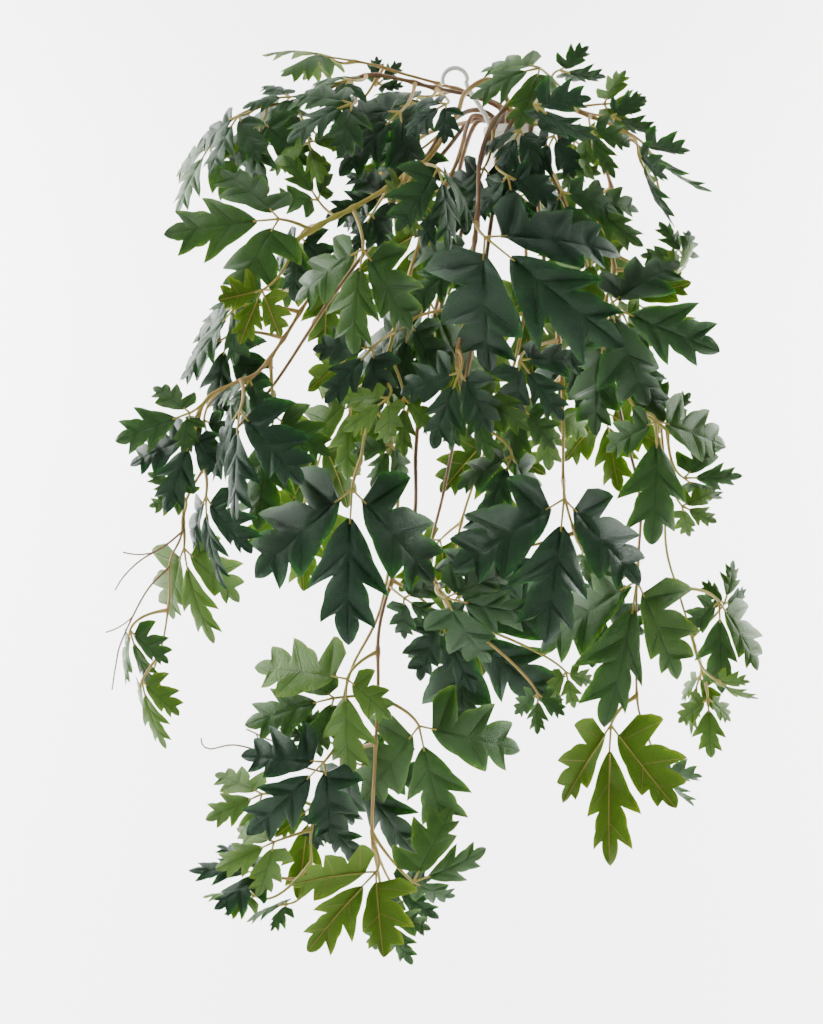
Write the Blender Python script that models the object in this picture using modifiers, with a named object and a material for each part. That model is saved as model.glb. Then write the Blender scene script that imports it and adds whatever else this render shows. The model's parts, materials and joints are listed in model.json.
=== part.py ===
"""Hanging grape ivy: leafy vines that stand in a small pot, which hangs from two wire hooks."""
import math
import random
from collections import namedtuple
from itertools import product

import bpy
import bmesh
from mathutils import Matrix, Vector
from mathutils.bvhtree import BVHTree

for old in list(bpy.data.objects):
    bpy.data.objects.remove(old, do_unlink=True)

# Routes and leaves are listed in mm as (across, down, forward) on a front elevation drawn from EYE.
SHEET_X, SHEET_Z = 512.0, 74.0       # where the pot's axis and the hooks' bearing height lie on the elevation
EYE = Vector((-100.5, -2300.0, -438.0))
MM = 0.001                           # metres in a millimetre

# The pot, its filler and its hooks, in mm.
POT_RIM_Z, POT_HEIGHT = -54.0, 62.0
POT_TOP_R, POT_FOOT_R = 26.4, 23.6   # outside, under the lip and at the foot
POT_WALL, POT_LIP_R, POT_LIP = 1.4, 28.6, 7.0
POT_SIDES = 26
FILL_DROP = 6.0                      # from the rim down to the filler
GAP = 0.3                            # between neighbouring pieces
HOLE_DEPTH, HOLE_SIDES = 18.0, 6
HOLE_RINGS = (10.2, 18.6)            # radii of the two rings of holes
HOLE_FLOOR = 1.0                     # below the foot of a stem
WIRE_R = 2.3
WIRE_REST = 0.4                      # between the hooked end of the wire and the pot's wall
ARC_R, ARC_TURN = 12.2, 200          # centre line of a hook's crook, and its sweep in degrees
HOOK_TURN = math.radians(38)         # how far the hooks stand round from the pot's left and right
LEG_RISE, LEG_TOP = 4.0, 6.0         # straight lengths of the leg above the rim and below the crook
# Each hook: x of its leg under the crook, z of its crook's top, both along the wire's centre line.
HOOKS = {"left": (-1, -45.2, 2.3), "right": (1, 24.9, -10.4)}

# Stems, in mm.
STEM_SIDES = 4
SAG = 1.8                            # how far a stem's chords may stray from its curve
STEM_STEP = 2.0                      # between the points of a stem's path
HOLE_STEPS = 10                      # points of a stem inside its hole
SPLAY_R = 41.0                       # from the axis, where a stem has cleared the rim
HOLE_LIFT = 3.0                      # above the filler before a stem leans
RIM_LEAN, RIM_RISE = 1.1, 0.6        # of a stem at the rim: share of its hole's radius and of its rise
BARE_R = 40.0                        # from the axis, where the first leaf may grow
JOINT_SWELL = 1.2                    # how much thicker a stem is where something grows from it
JOINT_REACH = 5                      # points of the path over which sprouts share a joint
COLLAR_R, COLLAR_RISE = 1.25, 0.9    # of the foot of a petiole
COLLAR_SHARE = 0.62                  # most that the foot takes of the stem's face
TENDRIL_R = (1.0, 0.5)
TENDRIL_STEP = 26.0

# Leaves, in mm where not said otherwise.
TONES = {"young": (0.20, 0.36, 0.07), "mid": (0.10, 0.24, 0.05), "dark": (0.05, 0.15, 0.06)}
SIZES = ((72.0, "small"), (112.0, "medium"))               # lengths up to which a leaf has fewer lobes
SPREAD = ((52, 0.84), (52, 0.84))    # degrees and size of the side leaflets where a row doesn't give them
BLADE_T = 0.55                       # half the thickness of a blade at its rib
HUB_T, STALK_T = 1.25, 0.95          # half the thickness at the hub and at a leaflet's foot
STALKS = {"middle": 0.19, "side": 0.12}                    # of the leaf's length
FALLS = {"middle": (-0.05, 0.15), "side": (0.0, 0.38)}     # radians a leaflet drops from the leaf's plane
TWISTS = {"middle": (-0.2, 0.2), "side": (-0.45, 0.12)}    # radians a leaflet turns about its rib
FULL_WIDTH = math.radians(54)        # between two leaflets that are both at full width
STALK_W = 1.1                        # half the width of a stalk
PETIOLE = 26.0                       # kept between a leaf and its stem
SHORT_PETIOLE = 9.0                  # up to here a petiole runs straight
PETIOLE_SWELL = 1.1                  # how much thicker than a stalk it is
BEND = (6.0, 15.0, 0.42)             # least and most of a petiole's last stretch, and its share of the reach
SPRING = 0.16                        # how far its bend is drawn back to the root
GROWN = 1.2                          # added round a blade's edge when it is placed
CLEAR = 1.5                          # kept about a blade or a stem

# What is tried in turn to keep a leaf clear of the rest.
TILTS = (0.0, 14.0, -14.0)           # degrees
SHIFTS = (0, 8, -8, 16, -16, 25, -25, 35, -35, 46, -46, 58, -58, 72, -72, 88, -88, 106, -106)
HOPS = (0, 8, 16)                    # points back along the stem
SWAYS = ((0.14, 0.0), (0.32, 0.0), (-0.06, 0.0), (0.14, 0.3), (0.14, -0.3), (-0.3, 0.0))
STEM_SHIFTS = SHIFTS[:13]
LEAN = (math.radians(32), math.radians(150))               # between a petiole and its stem
KINK = math.radians(88)              # most that a petiole bends
CROWD = (6, math.radians(70))        # petioles this many points apart leave at least this far round the stem

Sprig = namedtuple("Sprig", "vine leaf root petiole blades stalk")


def place(across, down, forward):
    """Point in mm for a place on the elevation, drawn in or out along the sight line by its depth."""
    k = (-EYE.y - forward) / -EYE.y
    x, z = across - SHEET_X, SHEET_Z - down
    return Vector((EYE.x + (x - EYE.x) * k, -forward, EYE.z + (z - EYE.z) * k))


def smoothPath(points, step):
    """Catmull-Rom curve through the points, sampled about every step mm."""
    ends = [points[0] * 2 - points[1]] + list(points) + [points[-1] * 2 - points[-2]]
    out = []
    for i in range(1, len(ends) - 2):
        a, b, c, d = ends[i - 1:i + 3]
        parts = max(1, round((c - b).length / step))
        for j in range(parts):
            t = j / parts
            out.append(0.5 * (2 * b + (c - a) * t + (2 * a - 5 * b + 4 * c - d) * t * t
                              + (3 * b - a - 3 * c + d) * t ** 3))
    out.append(points[-1].copy())
    return out


def frames(path):
    """Tangent, side and normal at each point of a path, carried along it without twist."""
    tangents = []
    for i in range(len(path)):
        tangents.append((path[min(i + 1, len(path) - 1)] - path[max(i - 1, 0)]).normalized())
    side = tangents[0].orthogonal()
    out = []
    for t in tangents:
        side = (side - t * side.dot(t)).normalized()
        out.append((t, side, t.cross(side)))
    return out


def tube(path, radii, sides):
    """Closed round bar along a path, radii in mm at its points."""
    verts, faces = [], []
    for point, radius, (t, s, n) in zip(path, radii, frames(path)):
        for k in range(sides):
            a = 2 * math.pi * k / sides
            verts.append(point + s * math.cos(a) * radius + n * math.sin(a) * radius)
    for i in range(len(path) - 1):
        for k in range(sides):
            a, b = i * sides + k, i * sides + (k + 1) % sides
            faces.append((a, b, b + sides, a + sides))
    faces.append(tuple(reversed(range(sides))))
    faces.append(tuple(range((len(path) - 1) * sides, len(path) * sides)))
    return verts, faces


# Each vine: the tone of its leaves; where it stands (azimuth, ring of holes, rise above the rim in mm and
# the azimuth it leaves at); stem radius at its foot and its end in mm; the route after the pot; its leaves as
# (hub across, down, forward, middle leaflet's tip across, down, lean to the front, roll about the rib, age
# 0 young to 3 old, then if needed the left and the right leaflet as (angle from the middle, size)); tendrils.
VINES = {
    "topLeftHigh": {
        "tone": "mid", "stand": (140, 0, 36, 165), "radius": (2.6, 1.3),
        "route": ((440, 84, 2), (404, 74, 6), (374, 65, 10), (342, 59, 14),
                  (328, 57, 16)),
        "leaves": ((330, 57, 16, 266, 35, -10, 76, 1), (378, 84, -14, 403, 64, 10, 20, 2),
                   (420, 96, -22, 352, 104, 8, 52, 2), (416, 104, 34, 346, 118, 14, 44, 2))},
    "leftArch": {
        "tone": "mid", "stand": (190, 0, 30, 195), "radius": (3.0, 1.4),
        "route": ((434, 88, 32), (404, 80, 40), (370, 75, 48), (340, 84, 54),
                  (300, 100, 62), (256, 108, 66), (226, 124, 66), (206, 150, 64)),
        "leaves": ((350, 80, 66, 282, 92, 4, 52, 2), (290, 97, 74, 243, 101, 10, 40, 2),
                   (284, 106, 52, 250, 154, 30, 34, 2), (262, 122, 92, 249, 190, 26, 30, 2),
                   (238, 116, 78, 206, 170, 24, 30, 2), (210, 146, 64, 169, 208, 6, 38, 1),
                   (352, 104, 84, 288, 128, 26, 36, 2), (362, 100, 30, 330, 148, 24, 30, 3),
                   (400, 112, 62, 338, 172, 14, 20, 3), (446, 104, 60, 404, 128, 20, 30, 3),
                   (309, 142, 104, 319, 181, 32, 14, 0, (88, 1.1), (72, 0.95)))},
    "frontLeft": {
        "tone": "mid", "stand": (245, 0, 42, 236), "radius": (3.2, 2.6),
        "route": ((466, 92, 46), (456, 116, 64), (430, 156, 88), (398, 181, 108),
                  (360, 204, 124), (320, 225, 134), (288, 246, 142)),
        "leaves": ((279, 219, 158, 167, 230, 10, 8, 1, (56, 0.76), (52, 0.82)),
                   (363, 249, 152, 348, 346, 16, 4, 1, (56, 0.86), (42, 0.92)),
                   (262, 290, 150, 236, 348, 6, 166, 0, (46, 0.8), (50, 0.86)),
                   (404, 180, 128, 408, 246, 18, 150, 1, (40, 0.7), (40, 0.7)),
                   (438, 168, 112, 462, 243, 20, -38, 2, (40, 0.9), (44, 0.8)),
                   (300, 236, 112, 290, 300, 0, 20, 3), (318, 200, 100, 290, 158, 20, 10, 1),
                   (392, 196, 84, 326, 214, 10, 14, 3), (372, 214, 96, 352, 252, 8, 10, 3))},
    "centreFront": {
        "tone": "dark", "stand": (300, 0, 30, 285), "radius": (3.4, 1.8),
        "route": ((494, 122, 72), (480, 160, 92), (478, 205, 108), (474, 250, 104),
                  (470, 300, 98), (458, 350, 98), (462, 392, 100), (480, 430, 98)),
        "leaves": ((485, 237, 132, 612, 346, 14, 6, 3, (55, 0.84), (42, 0.80)),
                   (466, 256, 118, 410, 306, 10, 10, 2, (52, 0.8), (50, 0.6)),
                   (466, 389, 122, 486, 458, 20, 6, 1, (38, 0.84), (44, 1.0)),
                   (430, 302, 106, 418, 400, 14, 10, 1, (34, 0.9), (34, 0.95)),
                   (410, 322, 84, 392, 414, 12, 6, 2, (44, 0.86), (40, 0.7)),
                   (512, 456, 96, 484, 520, 14, 10, 2, (44, 0.9), (52, 0.9)),
                   (520, 130, 84, 494, 176, 14, 20, 3), (460, 372, 80, 428, 446, 8, 8, 3),
                   (484, 168, 100, 462, 232, 14, 20, 3))},
    "topRight": {
        "tone": "young", "stand": (0, 0, 26, 345), "radius": (3.0, 1.3),
        "route": ((587, 115, 36), (617, 128, 44),
                  (640, 148, 48), (655, 176, 50), (663, 206, 50)),
        "leaves": ((540, 68, 22, 470, 84, 16, 34, 1, (40, 0.9), (56, 0.86)),
                   (560, 70, -22, 604, 84, 6, 50, 2, (34, 0.7), (52, 0.8)),
                   (604, 104, 30, 644, 104, 18, 10, 0, (60, 0.9), (60, 0.95)),
                   (534, 104, 84, 588, 150, 10, 56, 3, (40, 0.8), (40, 0.8)),
                   (590, 126, 58, 608, 177, 16, 20, 1, (42, 0.9), (40, 0.8)),
                   (612, 116, 62, 653, 137, 10, 44, 2),
                   (638, 152, 60, 663, 232, 4, 74, 2, (36, 0.6), (36, 0.6)),
                   (642, 142, 36, 694, 208, 4, 76, 2, (30, 0.7), (30, 0.6)))},
    "right": {
        "tone": "mid", "stand": (340, 1, 10, 340), "radius": (3.4, 1.6),
        "route": ((563, 150, 20), (578, 190, 40), (602, 232, 56),
                  (614, 268, 66), (606, 305, 76), (612, 350, 80), (630, 400, 82), (656, 421, 84),
                  (672, 434, 84)),
        "leaves": ((608, 306, 96, 720, 352, 8, 2, 2, (44, 0.92), (60, 0.76)),
                   (684, 258, 58, 662, 220, 6, 16, 1, (50, 0.8), (50, 1.0)),
                   (674, 273, 84, 701, 249, 4, 50, 0, (54, 0.7), (54, 0.7)),
                   (622, 312, 34, 648, 366, 0, 8, 0, (46, 0.8), (46, 0.8)),
                   (604, 338, 96, 662, 420, 14, 4, 2, (44, 0.95), (52, 0.5)),
                   (656, 421, 98, 657, 540, 10, 4, 1, (64, 0.5), (76, 0.7)),
                   (664, 419, 74, 692, 394, 6, 10, 1, (50, 0.9), (64, 1.3)),
                   (684, 478, 78, 742, 478, 8, 6, 1, (40, 0.9), (44, 0.95)),
                   (682, 506, 70, 718, 524, 4, 8, 0, (50, 0.9), (50, 0.9)),
                   (562, 168, 28, 600, 176, 10, 12, 1),
                   (584, 200, 60, 642, 246, 10, 6, 1, (44, 0.9), (34, 0.8)),
                   (594, 250, 34, 582, 326, 4, 8, 0))},
    "rightLow": {
        "tone": "mid", "stand": (313, 1, 10, 317), "radius": (3.0, 1.3),
        "route": ((548, 164, 38), (576, 230, 20), (600, 320, 30), (622, 420, 50), (640, 500, 68),
                  (637, 575, 74), (636, 650, 74), (638, 706, 74), (648, 736, 72), (657, 765, 70)),
        "leaves": ((637, 581, 98, 613, 722, 12, 4, 1, (52, 0.82), (34, 0.74)),
                   (658, 769, 70, 688, 812, 0, 62, 1, (34, 0.8), (50, 0.9)),
                   (611, 725, 78, 601, 865, 6, 172, 0, (40, 0.74), (32, 0.66)),
                   (600, 596, 40, 590, 668, 0, 10, 3),
                   (572, 348, 40, 590, 420, 6, 6, 3, (48, 0.8), (40, 0.8)),
                   (562, 192, 62, 586, 256, 10, 10, 2))},
    "farRight": {
        "tone": "young", "stand": (8, 1, 10, 6), "radius": (3.0, 1.3),
        "route": ((572, 172, -20), (610, 250, -14), (650, 360, 4), (664, 460, 24),
                  (666, 545, 38), (678, 590, 44), (690, 630, 46), (700, 664, 48), (704, 678, 48)),
        "leaves": ((708, 699, 52, 710, 757, 8, 6, 0, (56, 0.66), (50, 0.6)),
                   (719, 602, 84, 722, 692, 10, -6, 1, (50, 0.5), (34, 0.86)),
                   (724, 604, 42, 738, 562, 6, 10, 1, (50, 0.7), (60, 0.7)),
                   (700, 676, 42, 680, 732, 4, 40, 0, (34, 0.6), (34, 0.6)),
                   (716, 680, 60, 754, 708, 4, 52, 0, (34, 0.7), (34, 0.7)))},
    "left": {
        "tone": "dark", "stand": (202, 1, 16, 195), "radius": (3.2, 1.7),
        "route": ((446, 128, 52), (404, 190, 56), (350, 244, 74), (312, 294, 86),
                  (280, 344, 92), (258, 372, 94), (232, 384, 96), (208, 398, 98), (192, 424, 98)),
        "leaves": ((190, 413, 104, 115, 440, 8, 4, 1, (60, 0.62), (60, 0.5)),
                   (193, 434, 112, 166, 510, 12, 8, 3, (50, 0.9), (50, 0.6)),
                   (204, 420, 88, 214, 470, 4, 12, 3, (50, 0.8), (50, 0.8)),
                   (240, 410, 118, 226, 518, 12, 34, 3, (40, 0.8), (44, 0.9)),
                   (250, 380, 116, 226, 420, 20, 20, 2, (44, 0.9), (50, 0.9)),
                   (228, 336, 92, 206, 420, 8, 24, 3, (50, 0.8), (44, 0.8)),
                   (236, 306, 76, 178, 376, 6, 40, 2, (40, 0.8), (40, 0.7)),
                   (244, 290, 60, 198, 330, 6, 44, 2, (40, 0.8), (40, 0.8)),
                   (274, 416, 90, 254, 526, 10, 12, 1, (100, 0.52), (64, 0.60)),
                   (420, 150, 84, 372, 196, 12, 20, 3))},
    "leftLow": {
        "tone": "young", "stand": (147, 1, 10, 166), "radius": (3.0, 1.2),
        "route": ((446, 150, 8), (390, 220, 28), (330, 300, 50), (270, 390, 64), (218, 450, 72),
                  (188, 496, 76), (181, 536, 78), (170, 562, 78), (169, 600, 76), (163, 640, 74),
                  (153, 672, 72)),
        "leaves": ((206, 496, 92, 208, 588, 10, 36, 3, (34, 0.7), (34, 0.8)),
                   (184, 548, 84, 198, 646, 8, 16, 0, (34, 0.86), (36, 0.80)),
                   (130, 630, 74, 150, 702, 6, 42, 1, (34, 0.8), (34, 0.7)),
                   (142, 680, 72, 154, 752, 6, 40, 0, (38, 0.7), (38, 0.7)),
                   (184, 497, 88, 150, 470, 8, 12, 1)),
        "tendrils": (((184, 530, 80), (166, 545, 84), (141, 560, 88), (124, 576, 88), (115, 590, 86)),
                     ((170, 566, 78), (146, 592, 84), (122, 640, 84), (116, 664, 82), (112, 690, 80)))},
    "innerLeft": {
        "tone": "dark", "stand": (174, 1, 10, 184), "radius": (3.0, 1.6),
        "route": ((456, 164, 66), (424, 230, 88), (402, 300, 92), (384, 370, 96),
                  (366, 430, 100), (360, 466, 104)),
        "leaves": ((352, 489, 134, 344, 641, 10, 4, 3, (50, 0.88), (46, 0.84)),
                   (372, 348, 78, 324, 402, 4, 8, 3, (50, 0.9), (50, 0.9)),
                   (352, 398, 66, 344, 480, 0, 6, 0, (44, 0.9), (44, 0.9)),
                   (440, 190, 72, 420, 246, 8, 10, 3),
                   (392, 444, 82, 370, 486, 6, 8, 1, (50, 0.9), (50, 0.9)),
                   (388, 398, 112, 344, 430, 10, 6, 0, (40, 0.9), (60, 0.9)),
                   (404, 398, 122, 404, 455, 14, 6, 0, (44, 0.8), (40, 0.8)))},
    "centreLow": {
        "tone": "mid", "stand": (230, 1, 10, 254), "radius": (3.3, 1.8),
        "route": ((484, 152, 50), (468, 205, 56), (452, 270, 44), (424, 370, 52), (416, 450, 58),
                  (414, 520, 62), (392, 580, 66), (379, 630, 70), (378, 690, 72), (375, 760, 72),
                  (372, 826, 72), (374, 852, 74)),
        "leaves": ((404, 598, 86, 440, 622, 12, 4, 2, (60, 1.0), (60, 1.0)),
                   (438, 616, 72, 474, 694, 6, 6, 3, (40, 0.8), (34, 0.7)),
                   (347, 679, 96, 341, 775, 10, 4, 0, (98, 1.06), (54, 0.62)),
                   (334, 698, 84, 242, 718, 8, 16, 1, (50, 0.5), (60, 0.6)),
                   (419, 726, 94, 442, 835, 8, 4, 1, (50, 0.9), (66, 0.98)),
                   (352, 762, 74, 410, 862, 6, 10, 3, (40, 0.7), (44, 0.7)),
                   (376, 872, 92, 304, 944, 6, 170, 0, (46, 0.86), (46, 0.9)),
                   (413, 882, 80, 489, 856, 6, 6, 1, (48, 0.6), (42, 1.02)),
                   (386, 916, 78, 410, 966, 6, 4, 1, (46, 0.8), (50, 0.84)),
                   (392, 884, 66, 438, 920, 4, 10, 2, (44, 0.7), (44, 0.7)))},
    "bottomLeft": {
        "tone": "mid", "stand": (119, 1, 10, 146), "radius": (3.2, 1.3),
        "route": ((462, 160, -14), (450, 220, -2), (438, 300, 20), (406, 420, 34), (396, 520, 42),
                  (380, 610, 48), (352, 668, 52), (340, 720, 54), (340, 772, 56), (326, 802, 58),
                  (312, 826, 60), (311, 866, 60), (307, 884, 60)),
        "leaves": ((324, 762, 76, 250, 836, 8, 4, 3, (50, 0.8), (52, 0.8)),
                   (322, 740, 66, 278, 730, 4, 8, 2, (44, 0.9), (40, 0.8)),
                   (262, 794, 50, 203, 820, 4, 8, 0, (52, 0.9), (50, 0.9)),
                   (274, 842, 62, 216, 868, 8, 10, 0, (50, 0.8), (52, 0.9)),
                   (310, 808, 84, 297, 898, 4, 168, 0, (40, 0.5), (44, 0.5)),
                   (320, 812, 46, 363, 868, 2, 6, 3, (44, 0.6), (44, 0.6)),
                   (262, 874, 56, 194, 856, 16, 40, 3, (40, 0.8), (40, 0.8)),
                   (256, 896, 62, 205, 884, 4, 66, 0, (40, 0.7), (40, 0.7)),
                   (288, 904, 62, 244, 910, 4, 60, 1, (40, 0.7), (40, 0.7))),
        "tendrils": (((338, 776, 56), (293, 764, 62), (268, 754, 66), (235, 745, 70), (210, 749, 72),
                      (202, 744, 72), (201, 738, 71)),
                     ((342, 700, 54), (318, 730, 40), (280, 742, 38), (246, 729, 40)))},
    "rightCentre": {
        "tone": "dark", "stand": (285, 1, 10, 295), "radius": (3.2, 1.6),
        "route": ((530, 150, 50), (538, 200, 50), (544, 260, 48), (560, 350, 60), (563, 430, 70),
                  (564, 490, 78), (574, 530, 80), (582, 550, 80)),
        "leaves": ((564, 499, 104, 548, 640, 14, 4, 3, (52, 0.90), (50, 0.78)),
                   (544, 406, 46, 550, 474, 0, 6, 0), (524, 408, 76, 508, 468, 8, 6, 1),
                   (582, 560, 66, 566, 640, 0, 6, 3), (586, 552, 88, 612, 576, 6, 6, 1),
                   (520, 548, 96, 436, 566, 8, 6, 3), (548, 214, 66, 520, 158, 16, 20, 3),
                   (554, 136, 66, 528, 184, 12, 16, 3),
                   (520, 360, 92, 562, 420, 10, 4, 3, (40, 0.9), (60, 0.9)))},
    "centreSecond": {
        "tone": "dark", "stand": (257, 1, 10, 274), "radius": (3.2, 1.6),
        "route": ((500, 150, 54), (494, 200, 58), (480, 300, 66), (462, 400, 74), (444, 490, 80),
                  (430, 560, 86), (448, 604, 90), (462, 624, 92)),
        "leaves": ((446, 598, 112, 540, 620, 6, 4, 2, (50, 0.9), (40, 0.8)),
                   (456, 622, 104, 558, 710, 8, 4, 3, (46, 0.9), (48, 0.86)),
                   (566, 672, 70, 574, 710, 4, 6, 0), (538, 694, 60, 536, 733, 2, 6, 1),
                   (508, 176, 78, 520, 240, 12, 10, 3))},
    "backLeft": {
        "tone": "mid", "stand": (91, 1, 12, 114), "radius": (3.2, 1.4),
        "route": ((470, 122, -70), (420, 138, -100), (372, 190, -126), (352, 270, -140),
                  (344, 360, -142), (322, 450, -132), (306, 500, -126)),
        "leaves": ((396, 150, -124, 356, 196, -8, 184, 2), (420, 232, -132, 402, 318, -10, 176, 1),
                   (330, 262, -156, 322, 350, -8, 184, 2), (366, 344, -158, 358, 436, -10, 178, 1),
                   (322, 440, -150, 286, 520, -6, 184, 2), (304, 506, -132, 300, 590, -4, 176, 0))},
    "backRight": {
        "tone": "mid", "stand": (36, 1, 12, 60), "radius": (3.2, 1.4),
        "route": ((562, 122, -60), (590, 142, -92), (612, 190, -112), (620, 280, -118),
                  (616, 360, -114), (606, 410, -108)),
        "leaves": ((574, 140, -118, 606, 166, -8, 178, 1), (584, 214, -130, 552, 292, -10, 184, 2),
                   (632, 300, -136, 690, 340, -6, 176, 1), (590, 330, -134, 560, 402, -8, 182, 2),
                   (606, 412, -112, 616, 492, -4, 178, 0))},
    "backMiddle": {
        "tone": "mid", "stand": (63, 1, 12, 86), "radius": (3.2, 1.6),
        "route": ((516, 118, -80), (512, 160, -118), (526, 250, -140), (520, 340, -142),
                  (492, 430, -132), (462, 520, -120), (450, 590, -112)),
        "leaves": ((520, 196, -138, 560, 226, -8, 180, 2), (530, 296, -160, 530, 392, -10, 184, 2),
                   (478, 330, -156, 440, 400, -8, 176, 1), (486, 440, -150, 500, 520, -8, 182, 2),
                   (440, 540, -136, 398, 590, -6, 178, 1), (458, 596, -116, 486, 672, -4, 182, 1))},
}

# Leaflets: where the rib is stepped, and each half's split and margin as (along, out) in blade lengths. In a
# split, E steps on along the margin and R along the rib.
LEAFLETS = {
    "middle": {"rib": (0.0, 0.42, 0.71), "halves": (
        ("EREEREERE", ((0.0, 0.02), (0.52, 0.38), (0.47, 0.17), (0.83, 0.27), (0.76, 0.12))),
        ("EREEREERE", ((0.0, 0.02), (0.57, 0.36), (0.51, 0.16), (0.85, 0.25), (0.79, 0.11))))},
    "side": {"rib": (0.04, 0.40, 0.68), "halves": (
        ("EREEREERE", ((0.0, 0.02), (0.14, 0.50), (0.24, 0.17), (0.62, 0.42), (0.59, 0.20))),
        ("EREREERE", ((0.0, 0.02), (0.34, 0.20), (0.68, 0.29), (0.68, 0.14))))},
    "mediumMiddle": {"rib": (0.0, 0.5), "halves": (
        ("EREEREE", ((0.0, 0.03), (0.52, 0.37), (0.49, 0.17), (0.83, 0.22))),
        ("EREEREE", ((0.0, 0.03), (0.56, 0.36), (0.53, 0.16), (0.85, 0.20))))},
    "mediumSide": {"rib": (0.04, 0.4), "halves": (
        ("EREEREE", ((0.0, 0.03), (0.15, 0.47), (0.26, 0.18), (0.64, 0.38))),
        ("EREERE", ((0.0, 0.03), (0.66, 0.29), (0.68, 0.14))))},
    "smallMiddle": {"rib": (0.0, 0.4), "halves": (
        ("EREERE", ((0.0, 0.03), (0.56, 0.36), (0.58, 0.17))),
        ("EREERE", ((0.0, 0.03), (0.60, 0.35), (0.62, 0.16))))},
    "smallSide": {"rib": (0.04, 0.4), "halves": (
        ("EREERE", ((0.0, 0.03), (0.22, 0.45), (0.40, 0.21))),
        ("ERERE", ((0.0, 0.03), (0.62, 0.27))))},
}


class Leaf:
    """One leaf of three leaflets with its petiole."""

    def __init__(self, row, seed, shift, tilt, sway):
        across, down, forward, tipAcross, tipDown, lean, roll, age = row[:8]
        draw = random.Random(seed)
        self.hub = place(across, down, forward + shift)
        flat = place(tipAcross, tipDown, forward + shift) - self.hub
        lean, roll = math.radians(lean + tilt), math.radians(roll + draw.uniform(-5, 5))
        self.length = flat.length / math.cos(lean)
        self.along = (flat.normalized() * math.cos(lean) + Vector((0, -math.sin(lean), 0))).normalized()
        front = Vector((0, -1, 0))
        normal = (front - self.along * front.dot(self.along)).normalized()
        self.normal = Matrix.Rotation(roll, 3, self.along) @ normal
        self.left = self.along.cross(self.normal)
        self.age, self.sway = age, sway
        self.sides = row[8:] or SPREAD
        self.dip = draw.uniform(0.0, 0.10)
        self.droop = draw.uniform(0.10, 0.30)
        self.fold = draw.uniform(-0.30, -0.08)
        self.bends = [(draw.uniform(*FALLS[kind]), draw.uniform(*TWISTS[kind]))
                      for kind in ("side", "middle", "side")]
        self.half = BLADE_T * (1 + 0.06 * age)
        self.size = next((name for limit, name in SIZES if self.length < limit), "")

    def leaflets(self):
        """(kind, angle, size, side) of the leaflets, from the left round to the right."""
        (left, leftSize), (right, rightSize) = self.sides
        return (("side", math.radians(left), leftSize, 1), ("middle", 0.0, 1.0, 1),
                ("side", -math.radians(right), rightSize, -1))

    def slim(self, angle):
        """Width of the halves that face each other, less where two leaflets stand close."""
        return min(1.0, abs(angle) / FULL_WIDTH)

    def frame(self, number):
        """Base, rib, outward and upward directions and blade length of a leaflet."""
        kind, angle, size, side = self.leaflets()[number]
        fall, twist = self.bends[number]
        rib = self.along * math.cos(angle) + self.left * math.sin(angle)
        out = (self.left * math.cos(angle) - self.along * math.sin(angle)) * side
        stalk = self.length * STALKS[kind] * (size if kind == "side" else 1)
        base = self.hub + (rib - self.normal * self.dip * 0.5) * stalk
        up = self.normal * math.cos(fall) + rib * math.sin(fall)
        rib = rib * math.cos(fall) - self.normal * math.sin(fall)
        up, out = up * math.cos(twist) - out * math.sin(twist), out * math.cos(twist) + up * math.sin(twist)
        return base, rib, out, up, self.length * size - stalk

    def blade(self, placed, u, v):
        """Point of a leaflet's surface u along its rib and v out of it."""
        base, rib, out, up, length = placed
        rise = -self.dip * u - self.droop * u * u + self.fold * abs(v)
        return base + (rib * u + out * v + up * rise) * length

    def mesh(self, grow=0.0, lift=None):
        """Blade triangles: a lens when lift is None, else one sheet lifted by that many mm."""
        verts, tris = [], []

        def add(point):
            verts.append(point)
            return len(verts) - 1

        def pair(point, half):
            if lift is not None:
                i = add(point + self.normal * lift)
                return i, i
            return add(point + self.normal * half), add(point - self.normal * half)

        angles = [self.leaflets()[0][1], 0.0, self.leaflets()[2][1]]
        ports = [math.pi, angles[0], 0.0, angles[2], -math.pi]
        hub = pair(self.hub, HUB_T)
        corners = []
        for a, b in zip(ports, ports[1:]):
            reach = (STALK_W + grow) / math.sin(max(0.3, (a - b) / 2))
            m = (a + b) / 2
            corners.append(add(self.hub + (self.along * math.cos(m) + self.left * math.sin(m)) * min(reach, 4)
                               + self.normal * (lift or 0)))
        for i, (kind, angle, size, side) in enumerate(self.leaflets()):
            placed = self.frame(i)
            length = placed[-1]
            spec = LEAFLETS[self.size + kind.capitalize() if self.size else kind]
            thick = (STALK_T, self.half, self.half * 0.9)
            ribs = [pair(self.blade(placed, u, 0), t) for u, t in zip(spec["rib"], thick)]
            tip = add(self.blade(placed, 1.0 + grow / length, 0) + self.normal * (lift or 0))
            for h, (split, margin) in enumerate(spec["halves"]):
                way = 1 if h == 0 else -1
                if kind == "middle":
                    corner = corners[i] if h == 0 else corners[i + 1]
                else:
                    corner = corners[i + h] if side > 0 else corners[i + 1 - h]
                edge = [corner]
                near = angle if kind == "side" else self.leaflets()[2 * h][1]
                width = self.slim(near) if kind == "middle" or h == 1 else 1.0
                for j, (u, v) in enumerate(margin):
                    v = max(v, STALK_W / length) if j == 0 else v * width
                    edge.append(add(self.blade(placed, u, way * (v + grow / length))
                                    + self.normal * (lift or 0)))
                edge.append(tip)
                for face in (0, 1) if lift is None else (0,):
                    e, r, rib = 0, 0, [hub[face]] + [p[face] for p in ribs]
                    for step in split:
                        if step == "E":
                            tri = (rib[r], edge[e], edge[e + 1])
                            e += 1
                        else:
                            tri = (rib[r], edge[e], rib[r + 1])
                            r += 1
                        tris.append(tri)
        return verts, tris, hub, corners

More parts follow.
